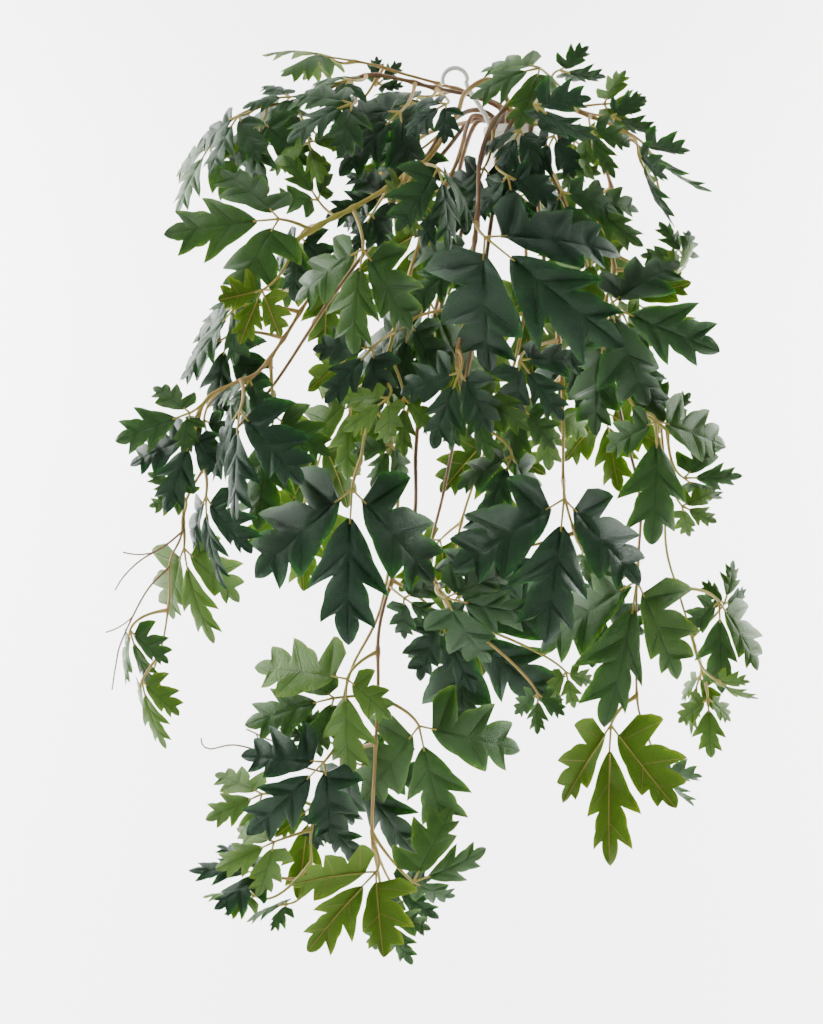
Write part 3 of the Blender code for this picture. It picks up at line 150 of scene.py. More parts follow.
# Each vine: where it stands (azimuth, ring of holes, rise above the rim in mm and the azimuth it leaves at);
# stem radius at its foot and its end in mm; the route after the pot; its leaves as
# (hub across, down, forward, middle leaflet's tip across, down, lean to the front, roll about the rib, age
# 0 young to 3 old and also set higher for leaves that lie in shade, so their darker tone is partly painted
# shade, then if needed the left and the right leaflet as (angle from the middle, size)); tendrils.
vines = {
    "topLeftHigh": {
        "stand": (140, 0, 36, 165), "radius": (2.6, 1.3),
        "route": ((440, 84, 2), (404, 74, 6), (374, 65, 10), (342, 59, 14),
                  (328, 57, 16)),
        "leaves": ((330, 57, 16, 266, 35, -10, 76, 1), (378, 84, -14, 403, 64, 10, 20, 2),
                   (420, 96, -22, 352, 104, 8, 52, 2), (416, 104, 34, 346, 118, 14, 44, 2))},
    "leftArch": {
        "stand": (190, 0, 30, 195), "radius": (3.0, 1.4),
        "route": ((434, 88, 32), (404, 80, 40), (370, 75, 48), (340, 84, 54),
                  (300, 100, 62), (256, 108, 66), (226, 124, 66), (206, 150, 64)),
        "leaves": ((350, 80, 66, 282, 92, 4, 52, 2), (290, 97, 74, 243, 101, 10, 40, 2),
                   (284, 106, 52, 250, 154, 30, 34, 2), (262, 122, 92, 249, 190, 26, 30, 2),
                   (238, 116, 78, 206, 170, 24, 30, 2), (210, 146, 64, 169, 208, 6, 38, 1),
                   (352, 104, 84, 288, 128, 26, 36, 2), (362, 100, 30, 330, 148, 24, 30, 3),
                   (400, 112, 62, 338, 172, 14, 20, 3), (446, 104, 60, 404, 128, 20, 30, 3),
                   (309, 142, 104, 319, 181, 32, 14, 0, (88, 1.1), (72, 0.95)))},
    "frontLeft": {
        "stand": (245, 0, 42, 236), "radius": (3.2, 2.6),
        "route": ((466, 92, 46), (456, 116, 64), (430, 156, 88), (398, 181, 108),
                  (360, 204, 124), (320, 225, 134), (288, 246, 142)),
        "leaves": ((279, 219, 158, 167, 230, 10, 8, 1, (56, 0.76), (52, 0.82)),
                   (363, 249, 152, 348, 346, 16, 4, 1, (56, 0.86), (42, 0.92)),
                   (262, 290, 150, 236, 348, 6, 166, 0, (46, 0.8), (50, 0.86)),
                   (404, 180, 128, 408, 246, 18, 150, 1, (40, 0.7), (40, 0.7)),
                   (438, 168, 112, 462, 243, 20, -38, 2, (40, 0.9), (44, 0.8)),
                   (300, 236, 112, 290, 300, 0, 20, 3), (318, 200, 100, 290, 158, 20, 10, 1),
                   (392, 196, 84, 326, 214, 10, 14, 3), (372, 214, 96, 352, 252, 8, 10, 3))},
    "centreFront": {
        "stand": (300, 0, 30, 285), "radius": (3.4, 1.8),
        "route": ((494, 122, 72), (480, 160, 92), (478, 205, 108), (474, 250, 104),
                  (470, 300, 98), (458, 350, 98), (462, 392, 100), (480, 430, 98)),
        "leaves": ((485, 237, 132, 612, 346, 14, 6, 3, (55, 0.84), (42, 0.80)),
                   (466, 256, 118, 410, 306, 10, 10, 2, (52, 0.8), (50, 0.6)),
                   (466, 389, 122, 486, 458, 20, 6, 1, (38, 0.84), (44, 1.0)),
                   (430, 302, 106, 418, 400, 14, 10, 1, (34, 0.9), (34, 0.95)),
                   (410, 322, 84, 392, 414, 12, 6, 2, (44, 0.86), (40, 0.7)),
                   (512, 456, 96, 484, 520, 14, 10, 2, (44, 0.9), (52, 0.9)),
                   (520, 130, 84, 494, 176, 14, 20, 3), (460, 372, 80, 428, 446, 8, 8, 3),
                   (484, 168, 100, 462, 232, 14, 20, 3))},
    "topRight": {
        "stand": (0, 0, 26, 345), "radius": (3.0, 1.3),
        "route": ((587, 115, 36), (617, 128, 44),
                  (640, 148, 48), (655, 176, 50), (663, 206, 50)),
        "leaves": ((540, 68, 22, 470, 84, 16, 34, 1, (40, 0.9), (56, 0.86)),
                   (560, 70, -22, 604, 84, 6, 50, 2, (34, 0.7), (52, 0.8)),
                   (604, 104, 30, 644, 104, 18, 10, 0, (60, 0.9), (60, 0.95)),
                   (534, 104, 84, 588, 150, 10, 56, 3, (40, 0.8), (40, 0.8)),
                   (590, 126, 58, 608, 177, 16, 20, 1, (42, 0.9), (40, 0.8)),
                   (612, 116, 62, 653, 137, 10, 44, 2),
                   (638, 152, 60, 663, 232, 4, 74, 2, (36, 0.6), (36, 0.6)),
                   (642, 142, 36, 694, 208, 4, 76, 2, (30, 0.7), (30, 0.6)))},
    "right": {
        "stand": (340, 1, 10, 340), "radius": (3.4, 1.6),
        "route": ((563, 150, 20), (578, 190, 40), (602, 232, 56),
                  (614, 268, 66), (606, 305, 76), (612, 350, 80), (630, 400, 82), (656, 421, 84),
                  (672, 434, 84)),
        "leaves": ((608, 306, 96, 720, 352, 8, 2, 2, (44, 0.92), (60, 0.76)),
                   (684, 258, 58, 662, 220, 6, 16, 1, (50, 0.8), (50, 1.0)),
                   (674, 273, 84, 701, 249, 4, 50, 0, (54, 0.7), (54, 0.7)),
                   (622, 312, 34, 648, 366, 0, 8, 0, (46, 0.8), (46, 0.8)),
                   (604, 338, 96, 662, 420, 14, 4, 2, (44, 0.95), (52, 0.5)),
                   (656, 421, 98, 657, 540, 10, 4, 1, (64, 0.5), (76, 0.7)),
                   (664, 419, 74, 692, 394, 6, 10, 1, (50, 0.9), (64, 1.3)),
                   (684, 478, 78, 742, 478, 8, 6, 1, (40, 0.9), (44, 0.95)),
                   (682, 506, 70, 718, 524, 4, 8, 0, (50, 0.9), (50, 0.9)),
                   (562, 168, 28, 600, 176, 10, 12, 1),
                   (584, 200, 60, 642, 246, 10, 6, 1, (44, 0.9), (34, 0.8)),
                   (594, 250, 34, 582, 326, 4, 8, 0))},
    "rightLow": {
        "stand": (313, 1, 10, 317), "radius": (3.0, 1.3),
        "route": ((548, 164, 38), (576, 230, 20), (600, 320, 30), (622, 420, 50), (640, 500, 68),
                  (637, 575, 74), (636, 650, 74), (638, 706, 74), (648, 736, 72), (657, 765, 70)),
        "leaves": ((637, 581, 98, 613, 722, 12, 4, 1, (52, 0.82), (34, 0.74)),
                   (658, 769, 70, 688, 812, 0, 62, 1, (34, 0.8), (50, 0.9)),
                   (611, 725, 78, 601, 865, 6, 172, 0, (40, 0.74), (32, 0.66)),
                   (600, 596, 40, 590, 668, 0, 10, 3),
                   (572, 348, 40, 590, 420, 6, 6, 3, (48, 0.8), (40, 0.8)),
                   (562, 192, 62, 586, 256, 10, 10, 2))},
    "farRight": {
        "stand": (8, 1, 10, 6), "radius": (3.0, 1.3),
        "route": ((572, 172, -20), (610, 250, -14), (650, 360, 4), (664, 460, 24),
                  (666, 545, 38), (678, 590, 44), (690, 630, 46), (700, 664, 48), (704, 678, 48)),
        "leaves": ((708, 699, 52, 710, 757, 8, 6, 0, (56, 0.66), (50, 0.6)),
                   (719, 602, 84, 722, 692, 10, -6, 1, (50, 0.5), (34, 0.86)),
                   (724, 604, 42, 738, 562, 6, 10, 1, (50, 0.7), (60, 0.7)),
                   (700, 676, 42, 680, 732, 4, 40, 0, (34, 0.6), (34, 0.6)),
                   (716, 680, 60, 754, 708, 4, 52, 0, (34, 0.7), (34, 0.7)))},
    "left": {
        "stand": (202, 1, 16, 195), "radius": (3.2, 1.7),
        "route": ((446, 128, 52), (404, 190, 56), (350, 244, 74), (312, 294, 86),
                  (280, 344, 92), (258, 372, 94), (232, 384, 96), (208, 398, 98), (192, 424, 98)),
        "leaves": ((190, 413, 104, 115, 440, 8, 4, 1, (60, 0.62), (60, 0.5)),
                   (193, 434, 112, 166, 510, 12, 8, 3, (50, 0.9), (50, 0.6)),
                   (204, 420, 88, 214, 470, 4, 12, 3, (50, 0.8), (50, 0.8)),
                   (240, 410, 118, 226, 518, 12, 34, 3, (40, 0.8), (44, 0.9)),
                   (250, 380, 116, 226, 420, 20, 20, 2, (44, 0.9), (50, 0.9)),
                   (228, 336, 92, 206, 420, 8, 24, 3, (50, 0.8), (44, 0.8)),
                   (236, 306, 76, 178, 376, 6, 40, 2, (40, 0.8), (40, 0.7)),
                   (244, 290, 60, 198, 330, 6, 44, 2, (40, 0.8), (40, 0.8)),
                   (274, 416, 90, 254, 526, 10, 12, 1, (100, 0.52), (64, 0.60)),
                   (420, 150, 84, 372, 196, 12, 20, 3))},
    "leftLow": {
        "stand": (147, 1, 10, 166), "radius": (3.0, 1.2),
        "route": ((446, 150, 8), (390, 220, 28), (330, 300, 50), (270, 390, 64), (218, 450, 72),
                  (188, 496, 76), (181, 536, 78), (170, 562, 78), (169, 600, 76), (163, 640, 74),
                  (153, 672, 72)),
        "leaves": ((206, 496, 92, 208, 588, 10, 36, 3, (34, 0.7), (34, 0.8)),
                   (184, 548, 84, 198, 646, 8, 16, 0, (34, 0.86), (36, 0.80)),
                   (130, 630, 74, 150, 702, 6, 42, 1, (34, 0.8), (34, 0.7)),
                   (142, 680, 72, 154, 752, 6, 40, 0, (38, 0.7), (38, 0.7)),
                   (184, 497, 88, 150, 470, 8, 12, 1)),
        "tendrils": (((184, 530, 80), (166, 545, 84), (141, 560, 88), (124, 576, 88), (115, 590, 86)),
                     ((170, 566, 78), (146, 592, 84), (122, 640, 84), (116, 664, 82), (112, 690, 80)))},
    "innerLeft": {
        "stand": (174, 1, 10, 184), "radius": (3.0, 1.6),
        "route": ((456, 164, 66), (424, 230, 88), (402, 300, 92), (384, 370, 96),
                  (366, 430, 100), (360, 466, 104)),
        "leaves": ((352, 489, 134, 344, 641, 10, 4, 3, (50, 0.88), (46, 0.84)),
                   (372, 348, 78, 324, 402, 4, 8, 3, (50, 0.9), (50, 0.9)),
                   (352, 398, 66, 344, 480, 0, 6, 0, (44, 0.9), (44, 0.9)),
                   (440, 190, 72, 420, 246, 8, 10, 3),
                   (392, 444, 82, 370, 486, 6, 8, 1, (50, 0.9), (50, 0.9)),
                   (388, 398, 112, 344, 430, 10, 6, 0, (40, 0.9), (60, 0.9)),
                   (404, 398, 122, 404, 455, 14, 6, 0, (44, 0.8), (40, 0.8)))},
    "centreLow": {
        "stand": (230, 1, 10, 254), "radius": (3.3, 1.8),
        "route": ((484, 152, 50), (468, 205, 56), (452, 270, 44), (424, 370, 52), (416, 450, 58),
                  (414, 520, 62), (392, 580, 66), (379, 630, 70), (378, 690, 72), (375, 760, 72),
                  (372, 826, 72), (374, 852, 74)),
        "leaves": ((404, 598, 86, 440, 622, 12, 4, 2, (60, 1.0), (60, 1.0)),
                   (438, 616, 72, 474, 694, 6, 6, 3, (40, 0.8), (34, 0.7)),
                   (347, 679, 96, 341, 775, 10, 4, 0, (98, 1.06), (54, 0.62)),
                   (334, 698, 84, 242, 718, 8, 16, 1, (50, 0.5), (60, 0.6)),
                   (419, 726, 94, 442, 835, 8, 4, 1, (50, 0.9), (66, 0.98)),
                   (352, 762, 74, 410, 862, 6, 10, 3, (40, 0.7), (44, 0.7)),
                   (376, 872, 92, 304, 944, 6, 170, 0, (46, 0.86), (46, 0.9)),
                   (413, 882, 80, 489, 856, 6, 6, 1, (48, 0.6), (42, 1.02)),
                   (386, 916, 78, 410, 966, 6, 4, 1, (46, 0.8), (50, 0.84)),
                   (392, 884, 66, 438, 920, 4, 10, 2, (44, 0.7), (44, 0.7)))},
    "bottomLeft": {
        "stand": (119, 1, 10, 146), "radius": (3.2, 1.3),
        "route": ((462, 160, -14), (450, 220, -2), (438, 300, 20), (406, 420, 34), (396, 520, 42),
                  (380, 610, 48), (352, 668, 52), (340, 720, 54), (340, 772, 56), (326, 802, 58),
                  (312, 826, 60), (311, 866, 60), (307, 884, 60)),
        "leaves": ((324, 762, 76, 250, 836, 8, 4, 3, (50, 0.8), (52, 0.8)),
                   (322, 740, 66, 278, 730, 4, 8, 2, (44, 0.9), (40, 0.8)),
                   (262, 794, 50, 203, 820, 4, 8, 0, (52, 0.9), (50, 0.9)),
                   (274, 842, 62, 216, 868, 8, 10, 0, (50, 0.8), (52, 0.9)),
                   (310, 808, 84, 297, 898, 4, 168, 0, (40, 0.5), (44, 0.5)),
                   (320, 812, 46, 363, 868, 2, 6, 3, (44, 0.6), (44, 0.6)),
                   (262, 874, 56, 194, 856, 16, 40, 3, (40, 0.8), (40, 0.8)),
                   (256, 896, 62, 205, 884, 4, 66, 0, (40, 0.7), (40, 0.7)),
                   (288, 904, 62, 244, 910, 4, 60, 1, (40, 0.7), (40, 0.7))),
        "tendrils": (((338, 776, 56), (293, 764, 62), (268, 754, 66), (235, 745, 70), (210, 749, 72),
                      (202, 744, 72), (201, 738, 71)),
                     ((342, 700, 54), (318, 730, 40), (280, 742, 38), (246, 729, 40)))},
    "rightCentre": {
        "stand": (285, 1, 10, 295), "radius": (3.2, 1.6),
        "route": ((530, 150, 50), (538, 200, 50), (544, 260, 48), (560, 350, 60), (563, 430, 70),
                  (564, 490, 78), (574, 530, 80), (582, 550, 80)),
        "leaves": ((564, 499, 104, 548, 640, 14, 4, 3, (52, 0.90), (50, 0.78)),
                   (544, 406, 46, 550, 474, 0, 6, 0), (524, 408, 76, 508, 468, 8, 6, 1),
                   (582, 560, 66, 566, 640, 0, 6, 3), (586, 552, 88, 612, 576, 6, 6, 1),
                   (520, 548, 96, 436, 566, 8, 6, 3), (548, 214, 66, 520, 158, 16, 20, 3),
                   (554, 136, 66, 528, 184, 12, 16, 3),
                   (520, 360, 92, 562, 420, 10, 4, 3, (40, 0.9), (60, 0.9)))},
    "centreSecond": {
        "stand": (257, 1, 10, 274), "radius": (3.2, 1.6),
        "route": ((500, 150, 54), (494, 200, 58), (480, 300, 66), (462, 400, 74), (444, 490, 80),
                  (430, 560, 86), (448, 604, 90), (462, 624, 92)),
        "leaves": ((446, 598, 112, 540, 620, 6, 4, 2, (50, 0.9), (40, 0.8)),
                   (456, 622, 104, 558, 710, 8, 4, 3, (46, 0.9), (48, 0.86)),
                   (566, 672, 70, 574, 710, 4, 6, 0), (538, 694, 60, 536, 733, 2, 6, 1),
                   (508, 176, 78, 520, 240, 12, 10, 3))},
    "backLeft": {
        "stand": (91, 1, 12, 114), "radius": (3.2, 1.4),
        "route": ((470, 122, -70), (420, 138, -100), (372, 190, -126), (352, 270, -140),
                  (344, 360, -142), (322, 450, -132), (306, 500, -126)),
        "leaves": ((396, 150, -124, 356, 196, -8, 184, 2), (420, 232, -132, 402, 318, -10, 176, 1),
                   (330, 262, -156, 322, 350, -8, 184, 2), (366, 344, -158, 358, 436, -10, 178, 1),
                   (322, 440, -150, 286, 520, -6, 184, 2), (304, 506, -132, 300, 590, -4, 176, 0))},
    "backRight": {
        "stand": (36, 1, 12, 60), "radius": (3.2, 1.4),
        "route": ((562, 122, -60), (590, 142, -92), (612, 190, -112), (620, 280, -118),
                  (616, 360, -114), (606, 410, -108)),
        "leaves": ((574, 140, -118, 606, 166, -8, 178, 1), (584, 214, -130, 552, 292, -10, 184, 2),
                   (632, 300, -136, 690, 340, -6, 176, 1), (590, 330, -134, 560, 402, -8, 182, 2),
                   (606, 412, -112, 616, 492, -4, 178, 0))},
    "backMiddle": {
        "stand": (63, 1, 12, 86), "radius": (3.2, 1.6),
        "route": ((516, 118, -80), (512, 160, -118), (526, 250, -140), (520, 340, -142),
                  (492, 430, -132), (462, 520, -120), (450, 590, -112)),
        "leaves": ((520, 196, -138, 560, 226, -8, 180, 2), (530, 296, -160, 530, 392, -10, 184, 2),
                   (478, 330, -156, 440, 400, -8, 176, 1), (486, 440, -150, 500, 520, -8, 182, 2),
                   (440, 540, -136, 398, 590, -6, 178, 1), (458, 596, -116, 486, 672, -4, 182, 1))},
}

# Leaflets: where the rib is stepped, and each half's split and margin as (along, out) in blade lengths. In a
# split, E steps on along the margin and R along the rib.
plainLeaflets = {
    "middle": {"rib": (0.0, 0.42, 0.71), "halves": (
        ("EREEREERE", ((0.0, 0.02), (0.52, 0.38), (0.47, 0.17), (0.83, 0.27), (0.76, 0.12))),
        ("EREEREERE", ((0.0, 0.02), (0.57, 0.36), (0.51, 0.16), (0.85, 0.25), (0.79, 0.11))))},
    "side": {"rib": (0.04, 0.40, 0.68), "halves": (
        ("EREEREERE", ((0.0, 0.02), (0.14, 0.50), (0.24, 0.17), (0.62, 0.42), (0.59, 0.20))),
        ("EREREERE", ((0.0, 0.02), (0.34, 0.20), (0.68, 0.29), (0.68, 0.14))))},
    "mediumMiddle": {"rib": (0.0, 0.5), "halves": (
        ("EREEREE", ((0.0, 0.03), (0.52, 0.37), (0.49, 0.17), (0.83, 0.22))),
        ("EREEREE", ((0.0, 0.03), (0.56, 0.36), (0.53, 0.16), (0.85, 0.20))))},
    "mediumSide": {"rib": (0.04, 0.4), "halves": (
        ("EREEREE", ((0.0, 0.03), (0.15, 0.47), (0.26, 0.18), (0.64, 0.38))),
        ("EREERE", ((0.0, 0.03), (0.66, 0.29), (0.68, 0.14))))},
    "smallMiddle": {"rib": (0.0, 0.4), "halves": (
        ("EREERE", ((0.0, 0.03), (0.56, 0.36), (0.58, 0.17))),
        ("EREERE", ((0.0, 0.03), (0.60, 0.35), (0.62, 0.16))))},
    "smallSide": {"rib": (0.04, 0.4), "halves": (
        ("EREERE", ((0.0, 0.03), (0.22, 0.45), (0.40, 0.21))),
        ("ERERE", ((0.0, 0.03), (0.62, 0.27))))},
}


class Leaf:
    # One leaf of three leaflets with its petiole.

    def __init__(self, row, seed, shift, tilt, sway):
        across, down, forward, tipAcross, tipDown, lean, roll, age = row[:8]
        draw = random.Random(seed)
        self.hub = place(across, down, forward + shift)
        flat = place(tipAcross, tipDown, forward + shift) - self.hub
        lean, roll = math.radians(lean + tilt), math.radians(roll + draw.uniform(-5, 5))
        self.length = flat.length / math.cos(lean)
        self.along = (flat.normalized() * math.cos(lean) + Vector((0, -math.sin(lean), 0))).normalized()
        front = Vector((0, -1, 0))
        normal = (front - self.along * front.dot(self.along)).normalized()
        self.normal = Matrix.Rotation(roll, 3, self.along) @ normal
        self.left = self.along.cross(self.normal)
        self.age, self.sway = age, sway
        self.sides = row[8:] or leafSize["spread"]
        self.dip = draw.uniform(0.0, 0.10)
        self.droop = draw.uniform(0.10, 0.30)
        self.fold = draw.uniform(-0.30, -0.08)
        self.bends = [(draw.uniform(*leafSize["falls"][kind]), draw.uniform(*leafSize["twists"][kind]))
                      for kind in ("side", "middle", "side")]
        self.half = leafSize["blade"] * (1 + 0.06 * age)
        self.size = next((name for limit, name in leafSize["sizes"] if self.length < limit), "")

    def leaflets(self):
        # (kind, angle, size, side) of the leaflets, from the left round to the right.
        (left, leftSize), (right, rightSize) = self.sides
        return (("side", math.radians(left), leftSize, 1), ("middle", 0.0, 1.0, 1),
                ("side", -math.radians(right), rightSize, -1))

    def slim(self, angle):
        # Width of the halves that face each other, less where two leaflets stand close.
        return min(1.0, abs(angle) / leafSize["fullWidth"])

    def frame(self, number):
        # Base, rib, outward and upward directions and blade length of a leaflet.
        kind, angle, size, side = self.leaflets()[number]
        fall, twist = self.bends[number]
        rib = self.along * math.cos(angle) + self.left * math.sin(angle)
        out = (self.left * math.cos(angle) - self.along * math.sin(angle)) * side
        stalk = self.length * leafSize["stalks"][kind] * (size if kind == "side" else 1)
        base = self.hub + (rib - self.normal * self.dip * 0.5) * stalk
        up = self.normal * math.cos(fall) + rib * math.sin(fall)
        rib = rib * math.cos(fall) - self.normal * math.sin(fall)
        up, out = up * math.cos(twist) - out * math.sin(twist), out * math.cos(twist) + up * math.sin(twist)
        return base, rib, out, up, self.length * size - stalk

    def blade(self, placed, u, v):
        # Point of a leaflet's surface u along its rib and v out of it.
        base, rib, out, up, length = placed
        rise = -self.dip * u - self.droop * u * u + self.fold * abs(v)
        return base + (rib * u + out * v + up * rise) * length

    def mesh(self, grow=0.0, lift=None):
        # Blade triangles: a lens when lift is None, else one sheet lifted by that many mm.
        verts, tris = [], []

        def add(point):
            verts.append(point)
            return len(verts) - 1

        def pair(point, half):
            if lift is not None:
                i = add(point + self.normal * lift)
                return i, i
            return add(point + self.normal * half), add(point - self.normal * half)

        angles = [self.leaflets()[0][1], 0.0, self.leaflets()[2][1]]
        ports = [math.pi, angles[0], 0.0, angles[2], -math.pi]
        hub = pair(self.hub, leafSize["hub"])
        corners = []
        for a, b in zip(ports, ports[1:]):
            reach = (leafSize["stalkWide"] + grow) / math.sin(max(0.3, (a - b) / 2))
            m = (a + b) / 2
            corners.append(add(self.hub + (self.along * math.cos(m) + self.left * math.sin(m)) * min(reach, 4)
                               + self.normal * (lift or 0)))
        for i, (kind, angle, size, side) in enumerate(self.leaflets()):
            placed = self.frame(i)
            length = placed[-1]
            spec = plainLeaflets[self.size + kind.capitalize() if self.size else kind]
            thick = (leafSize["stalkThick"], self.half, self.half * 0.9)
            ribs = [pair(self.blade(placed, u, 0), t) for u, t in zip(spec["rib"], thick)]
            tip = add(self.blade(placed, 1.0 + grow / length, 0) + self.normal * (lift or 0))
            for h, (split, margin) in enumerate(spec["halves"]):
                way = 1 if h == 0 else -1
                if kind == "middle":
                    corner = corners[i] if h == 0 else corners[i + 1]
                else:
                    corner = corners[i + h] if side > 0 else corners[i + 1 - h]
                edge = [corner]
                near = angle if kind == "side" else self.leaflets()[2 * h][1]
                width = self.slim(near) if kind == "middle" or h == 1 else 1.0
                for j, (u, v) in enumerate(margin):
                    v = max(v, leafSize["stalkWide"] / length) if j == 0 else v * width
                    edge.append(add(self.blade(placed, u, way * (v + grow / length))
                                    + self.normal * (lift or 0)))
                edge.append(tip)
                for face in (0, 1) if lift is None else (0,):
                    e, r, rib = 0, 0, [hub[face]] + [p[face] for p in ribs]
                    for step in split:
                        if step == "E":
                            tri = (rib[r], edge[e], edge[e + 1])
                            e += 1
                        else:
                            tri = (rib[r], edge[e], rib[r + 1])
                            r += 1
                        tris.append(tri)
        return verts, tris

    def petiole(self, root):
        # Root in the stem, bend and end of the petiole.
        reach = (self.hub - root).length
        behind, beside = self.sway
        least, most, share = leafSize["bend"]
        bend = self.hub - self.along * min(most, max(least, reach * share))
        bend -= (self.normal * behind - self.left * beside) * reach
        return [root, bend.lerp(root, leafSize["spring"]), self.hub]


def tree(verts, faces):
    # Search tree with its bounding ball.
    middle = sum(verts, Vector()) / len(verts)
    return BVHTree.FromPolygons(verts, faces), middle, max((v - middle).length for v in verts)


def meets(a, b):
    # Whether two trees' surfaces cross.
    return (a[1] - b[1]).length < a[2] + b[2] and bool(a[0].overlap(b[0]))


def sheets(leaf):
    # Three sheets that bound the space kept clear about a leaf's blade.
    verts, tris = [], []
    for lift in (search["clear"] + leafSize["blade"], 0.0, -search["clear"] - leafSize["blade"]):
        v, t = leaf.mesh(leafSize["grown"], lift)
        tris += [tuple(i + len(verts) for i in tri) for tri in t]
        verts += v
    return tree(verts, tris)


def toward(azimuth):
    # Level direction at an azimuth in degrees.
    return Vector((math.cos(math.radians(azimuth)), math.sin(math.radians(azimuth)), 0))


def vinePath(spec, shift):
    # Stem path from its hole in the filler, its middle moved forward by shift mm.
    azimuth, ring, rise, leave = spec["stand"]
    hole = toward(azimuth) * holeSize["rings"][ring]
    top = potSize["rim"] - potSize["fillDrop"]
    points = [hole + Vector((0, 0, top + holeSize["lift"])),
              hole * stemRun["rimLean"] + Vector((0, 0, potSize["rim"] + rise * stemRun["rimRise"])),
              toward(leave) * stemRun["splay"] + Vector((0, 0, potSize["rim"] + rise))]
    for i, (across, down, forward) in enumerate(spec["route"]):
        points.append(place(across, down, forward + shift * min(1.0, (i + 1) / 2.0)))
    foot = hole + Vector((0, 0, top - holeSize["depth"] + holeSize["floor"]))
    return smoothPath([foot, points[0]], stemRun["step"])[:-1] + smoothPath(points, stemRun["step"])


def stemTree(path, spec, more=0.0):
    # Search tree of a stem, made thicker by more mm.
    r0, r1 = spec["radius"]
    thin = path[::4] + [path[-1]]
    radii = [r0 + (r1 - r0) * i / (len(thin) - 1) + more for i in range(len(thin))]
    return tree(*tube(thin, radii, stemRun["sides"]))


def cut(line, near, far):
    # Part of a bent line that keeps near mm from its start and far mm from its end.
    a = line[0] + (line[1] - line[0]).normalized() * min(near, (line[1] - line[0]).length * 0.9)
    b = line[-1] + (line[-2] - line[-1]).normalized() * min(far, (line[-2] - line[-1]).length * 0.9)
    return [a] + line[1:-1] + [b]


def rod(line, radius):
    # Search tree of a bar of one radius.
    return tree(*tube(line, [radius] * len(line), stemRun["sides"]))


def tendrilLine(line):
    # Smooth curve through a tendril's places.
    return smoothPath([place(*p) for p in line], stemRun["tendrilStep"])


def kinked(path, root, petiole):
    # Whether a petiole would leave along its stem or fold back on itself.
    start, end = petiole[1] - petiole[0], petiole[2] - petiole[1]
    lean = (path[root + 1] - path[root - 1]).angle(start)
    return not search["lean"][0] < lean < search["lean"][1] or start.angle(end) > search["kink"]


def crowds(path, root, petiole, other):
    # Whether a petiole would leave the stem beside another one and the same way.
    if abs(root - other.root) > search["crowd"][0]:
        return False
    line = path[root + 1] - path[root - 1]
    a, b = ((p[1] - p[0]).cross(line) for p in (petiole, other.petiole))
    return a.angle(b) < search["crowd"][1]


def placeStems(fixed):
    # For each vine a path, with its search tree, that stays clear of the other stems and the fixed trees.
    stems = {}
    for name, spec in vines.items():
        best = None
        for shift in stemRun["shifts"]:
            path = vinePath(spec, shift)
            wide = stemTree(path[holeSize["steps"]:], spec, search["clear"])
            hits = sum(meets(wide, other) for other in [s[1] for s in stems.values()] + fixed)
            if best is None or hits < best[0]:
                best = (hits, path)
            if hits == 0:
                break
        if best[0]:
            print("stem not clear:", name)
        stems[name] = (best[1], stemTree(best[1], spec))
    return stems


def petioleHits(name, path, root, petiole, leaf, blades, stems, fixed, sprigs):
    # Number of faults of a petiole: what it meets, kinks, and neighbours that it crowds.
    reach = (leaf.hub - path[root]).length
    stalk = rod(cut(petiole, 3, 1), leafSize["stalkWide"] + search["clear"])
    hits = sum(meets(stalk, stems[other][1]) for other in stems if other != name)
    hits += sum(meets(stalk, other) for other in fixed)
    hits += sum(meets(stalk, other.blades) + meets(stalk, other.stalk) for other in sprigs)
    hits += meets(rod(cut(petiole, 1, 8), leafSize["stalkWide"] + 0.5), blades)
    hits += kinked(path, root, petiole)
    hits += sum(crowds(path, root, petiole, other) for other in sprigs if other.vine == name)
    near = rod(cut(petiole, min(14, reach * 0.6), 1), leafSize["stalkWide"] + 0.5)
    return hits + meets(near, stems[name][1])


def placeLeaf(name, number, row, stems, fixed, sprigs):
    # First pose of a leaf, of those tried in turn, that is clear of everything placed before it.
    path = stems[name][0]
    first = next(i for i, p in enumerate(path) if math.hypot(p.x, p.y) > stemRun["bare"])
    best, seen = None, {}
    for tilt, shift, hop, sway in product(search["tilts"], search["shifts"], search["hops"], search["sways"]):
        leaf = Leaf(row, name + str(number), shift, tilt, sway)
        if (tilt, shift) not in seen:
            wide = sheets(leaf)
            hits = sum(meets(wide, other[1]) for other in stems.values())
            hits += sum(meets(wide, other) for other in fixed)
            hits += sum(meets(wide, other.blades) + meets(wide, other.stalk) for other in sprigs)
            seen[tilt, shift] = hits, tree(*leaf.mesh())
        hits, blades = seen[tilt, shift]
        if hits and best and best[1] < 2:
            continue
        back = leaf.hub - leaf.along * leafSize["petiole"]
        root = max(first, min(range(first, len(path) - 3), key=lambda i: (path[i] - back).length) - hop)
        petiole = leaf.petiole(path[root])
        hits += petioleHits(name, path, root, petiole, leaf, blades, stems, fixed, sprigs)
        score = hits + (leaf.hub - path[root]).length * 1e-4
        if best is None or score < best[0]:
            best = (score, hits, leaf, root, petiole, blades)
        if hits == 0:
            break
    _, hits, leaf, root, petiole, blades = best
    if hits:
        print("leaf not clear:", name, number)
    return Sprig(name, leaf, root, petiole, blades, rod(cut(petiole, 5, 1), leafSize["stalkWide"] * 1.2))


def layOut(fixed):
    # Stems and sprigs placed round the fixed trees and the tendrils.
    stems = placeStems(fixed)
    for spec in vines.values():
        for line in spec.get("tendrils", ()):
            fixed.append(rod(cut(tendrilLine(line), 6, 0.1), stemRun["tendril"] + search["clear"]))
    sprigs = []
    for name, spec in vines.items():
        for number, row in enumerate(spec["leaves"]):
            sprigs.append(placeLeaf(name, number, row, stems, fixed, sprigs))
    return stems, sprigs


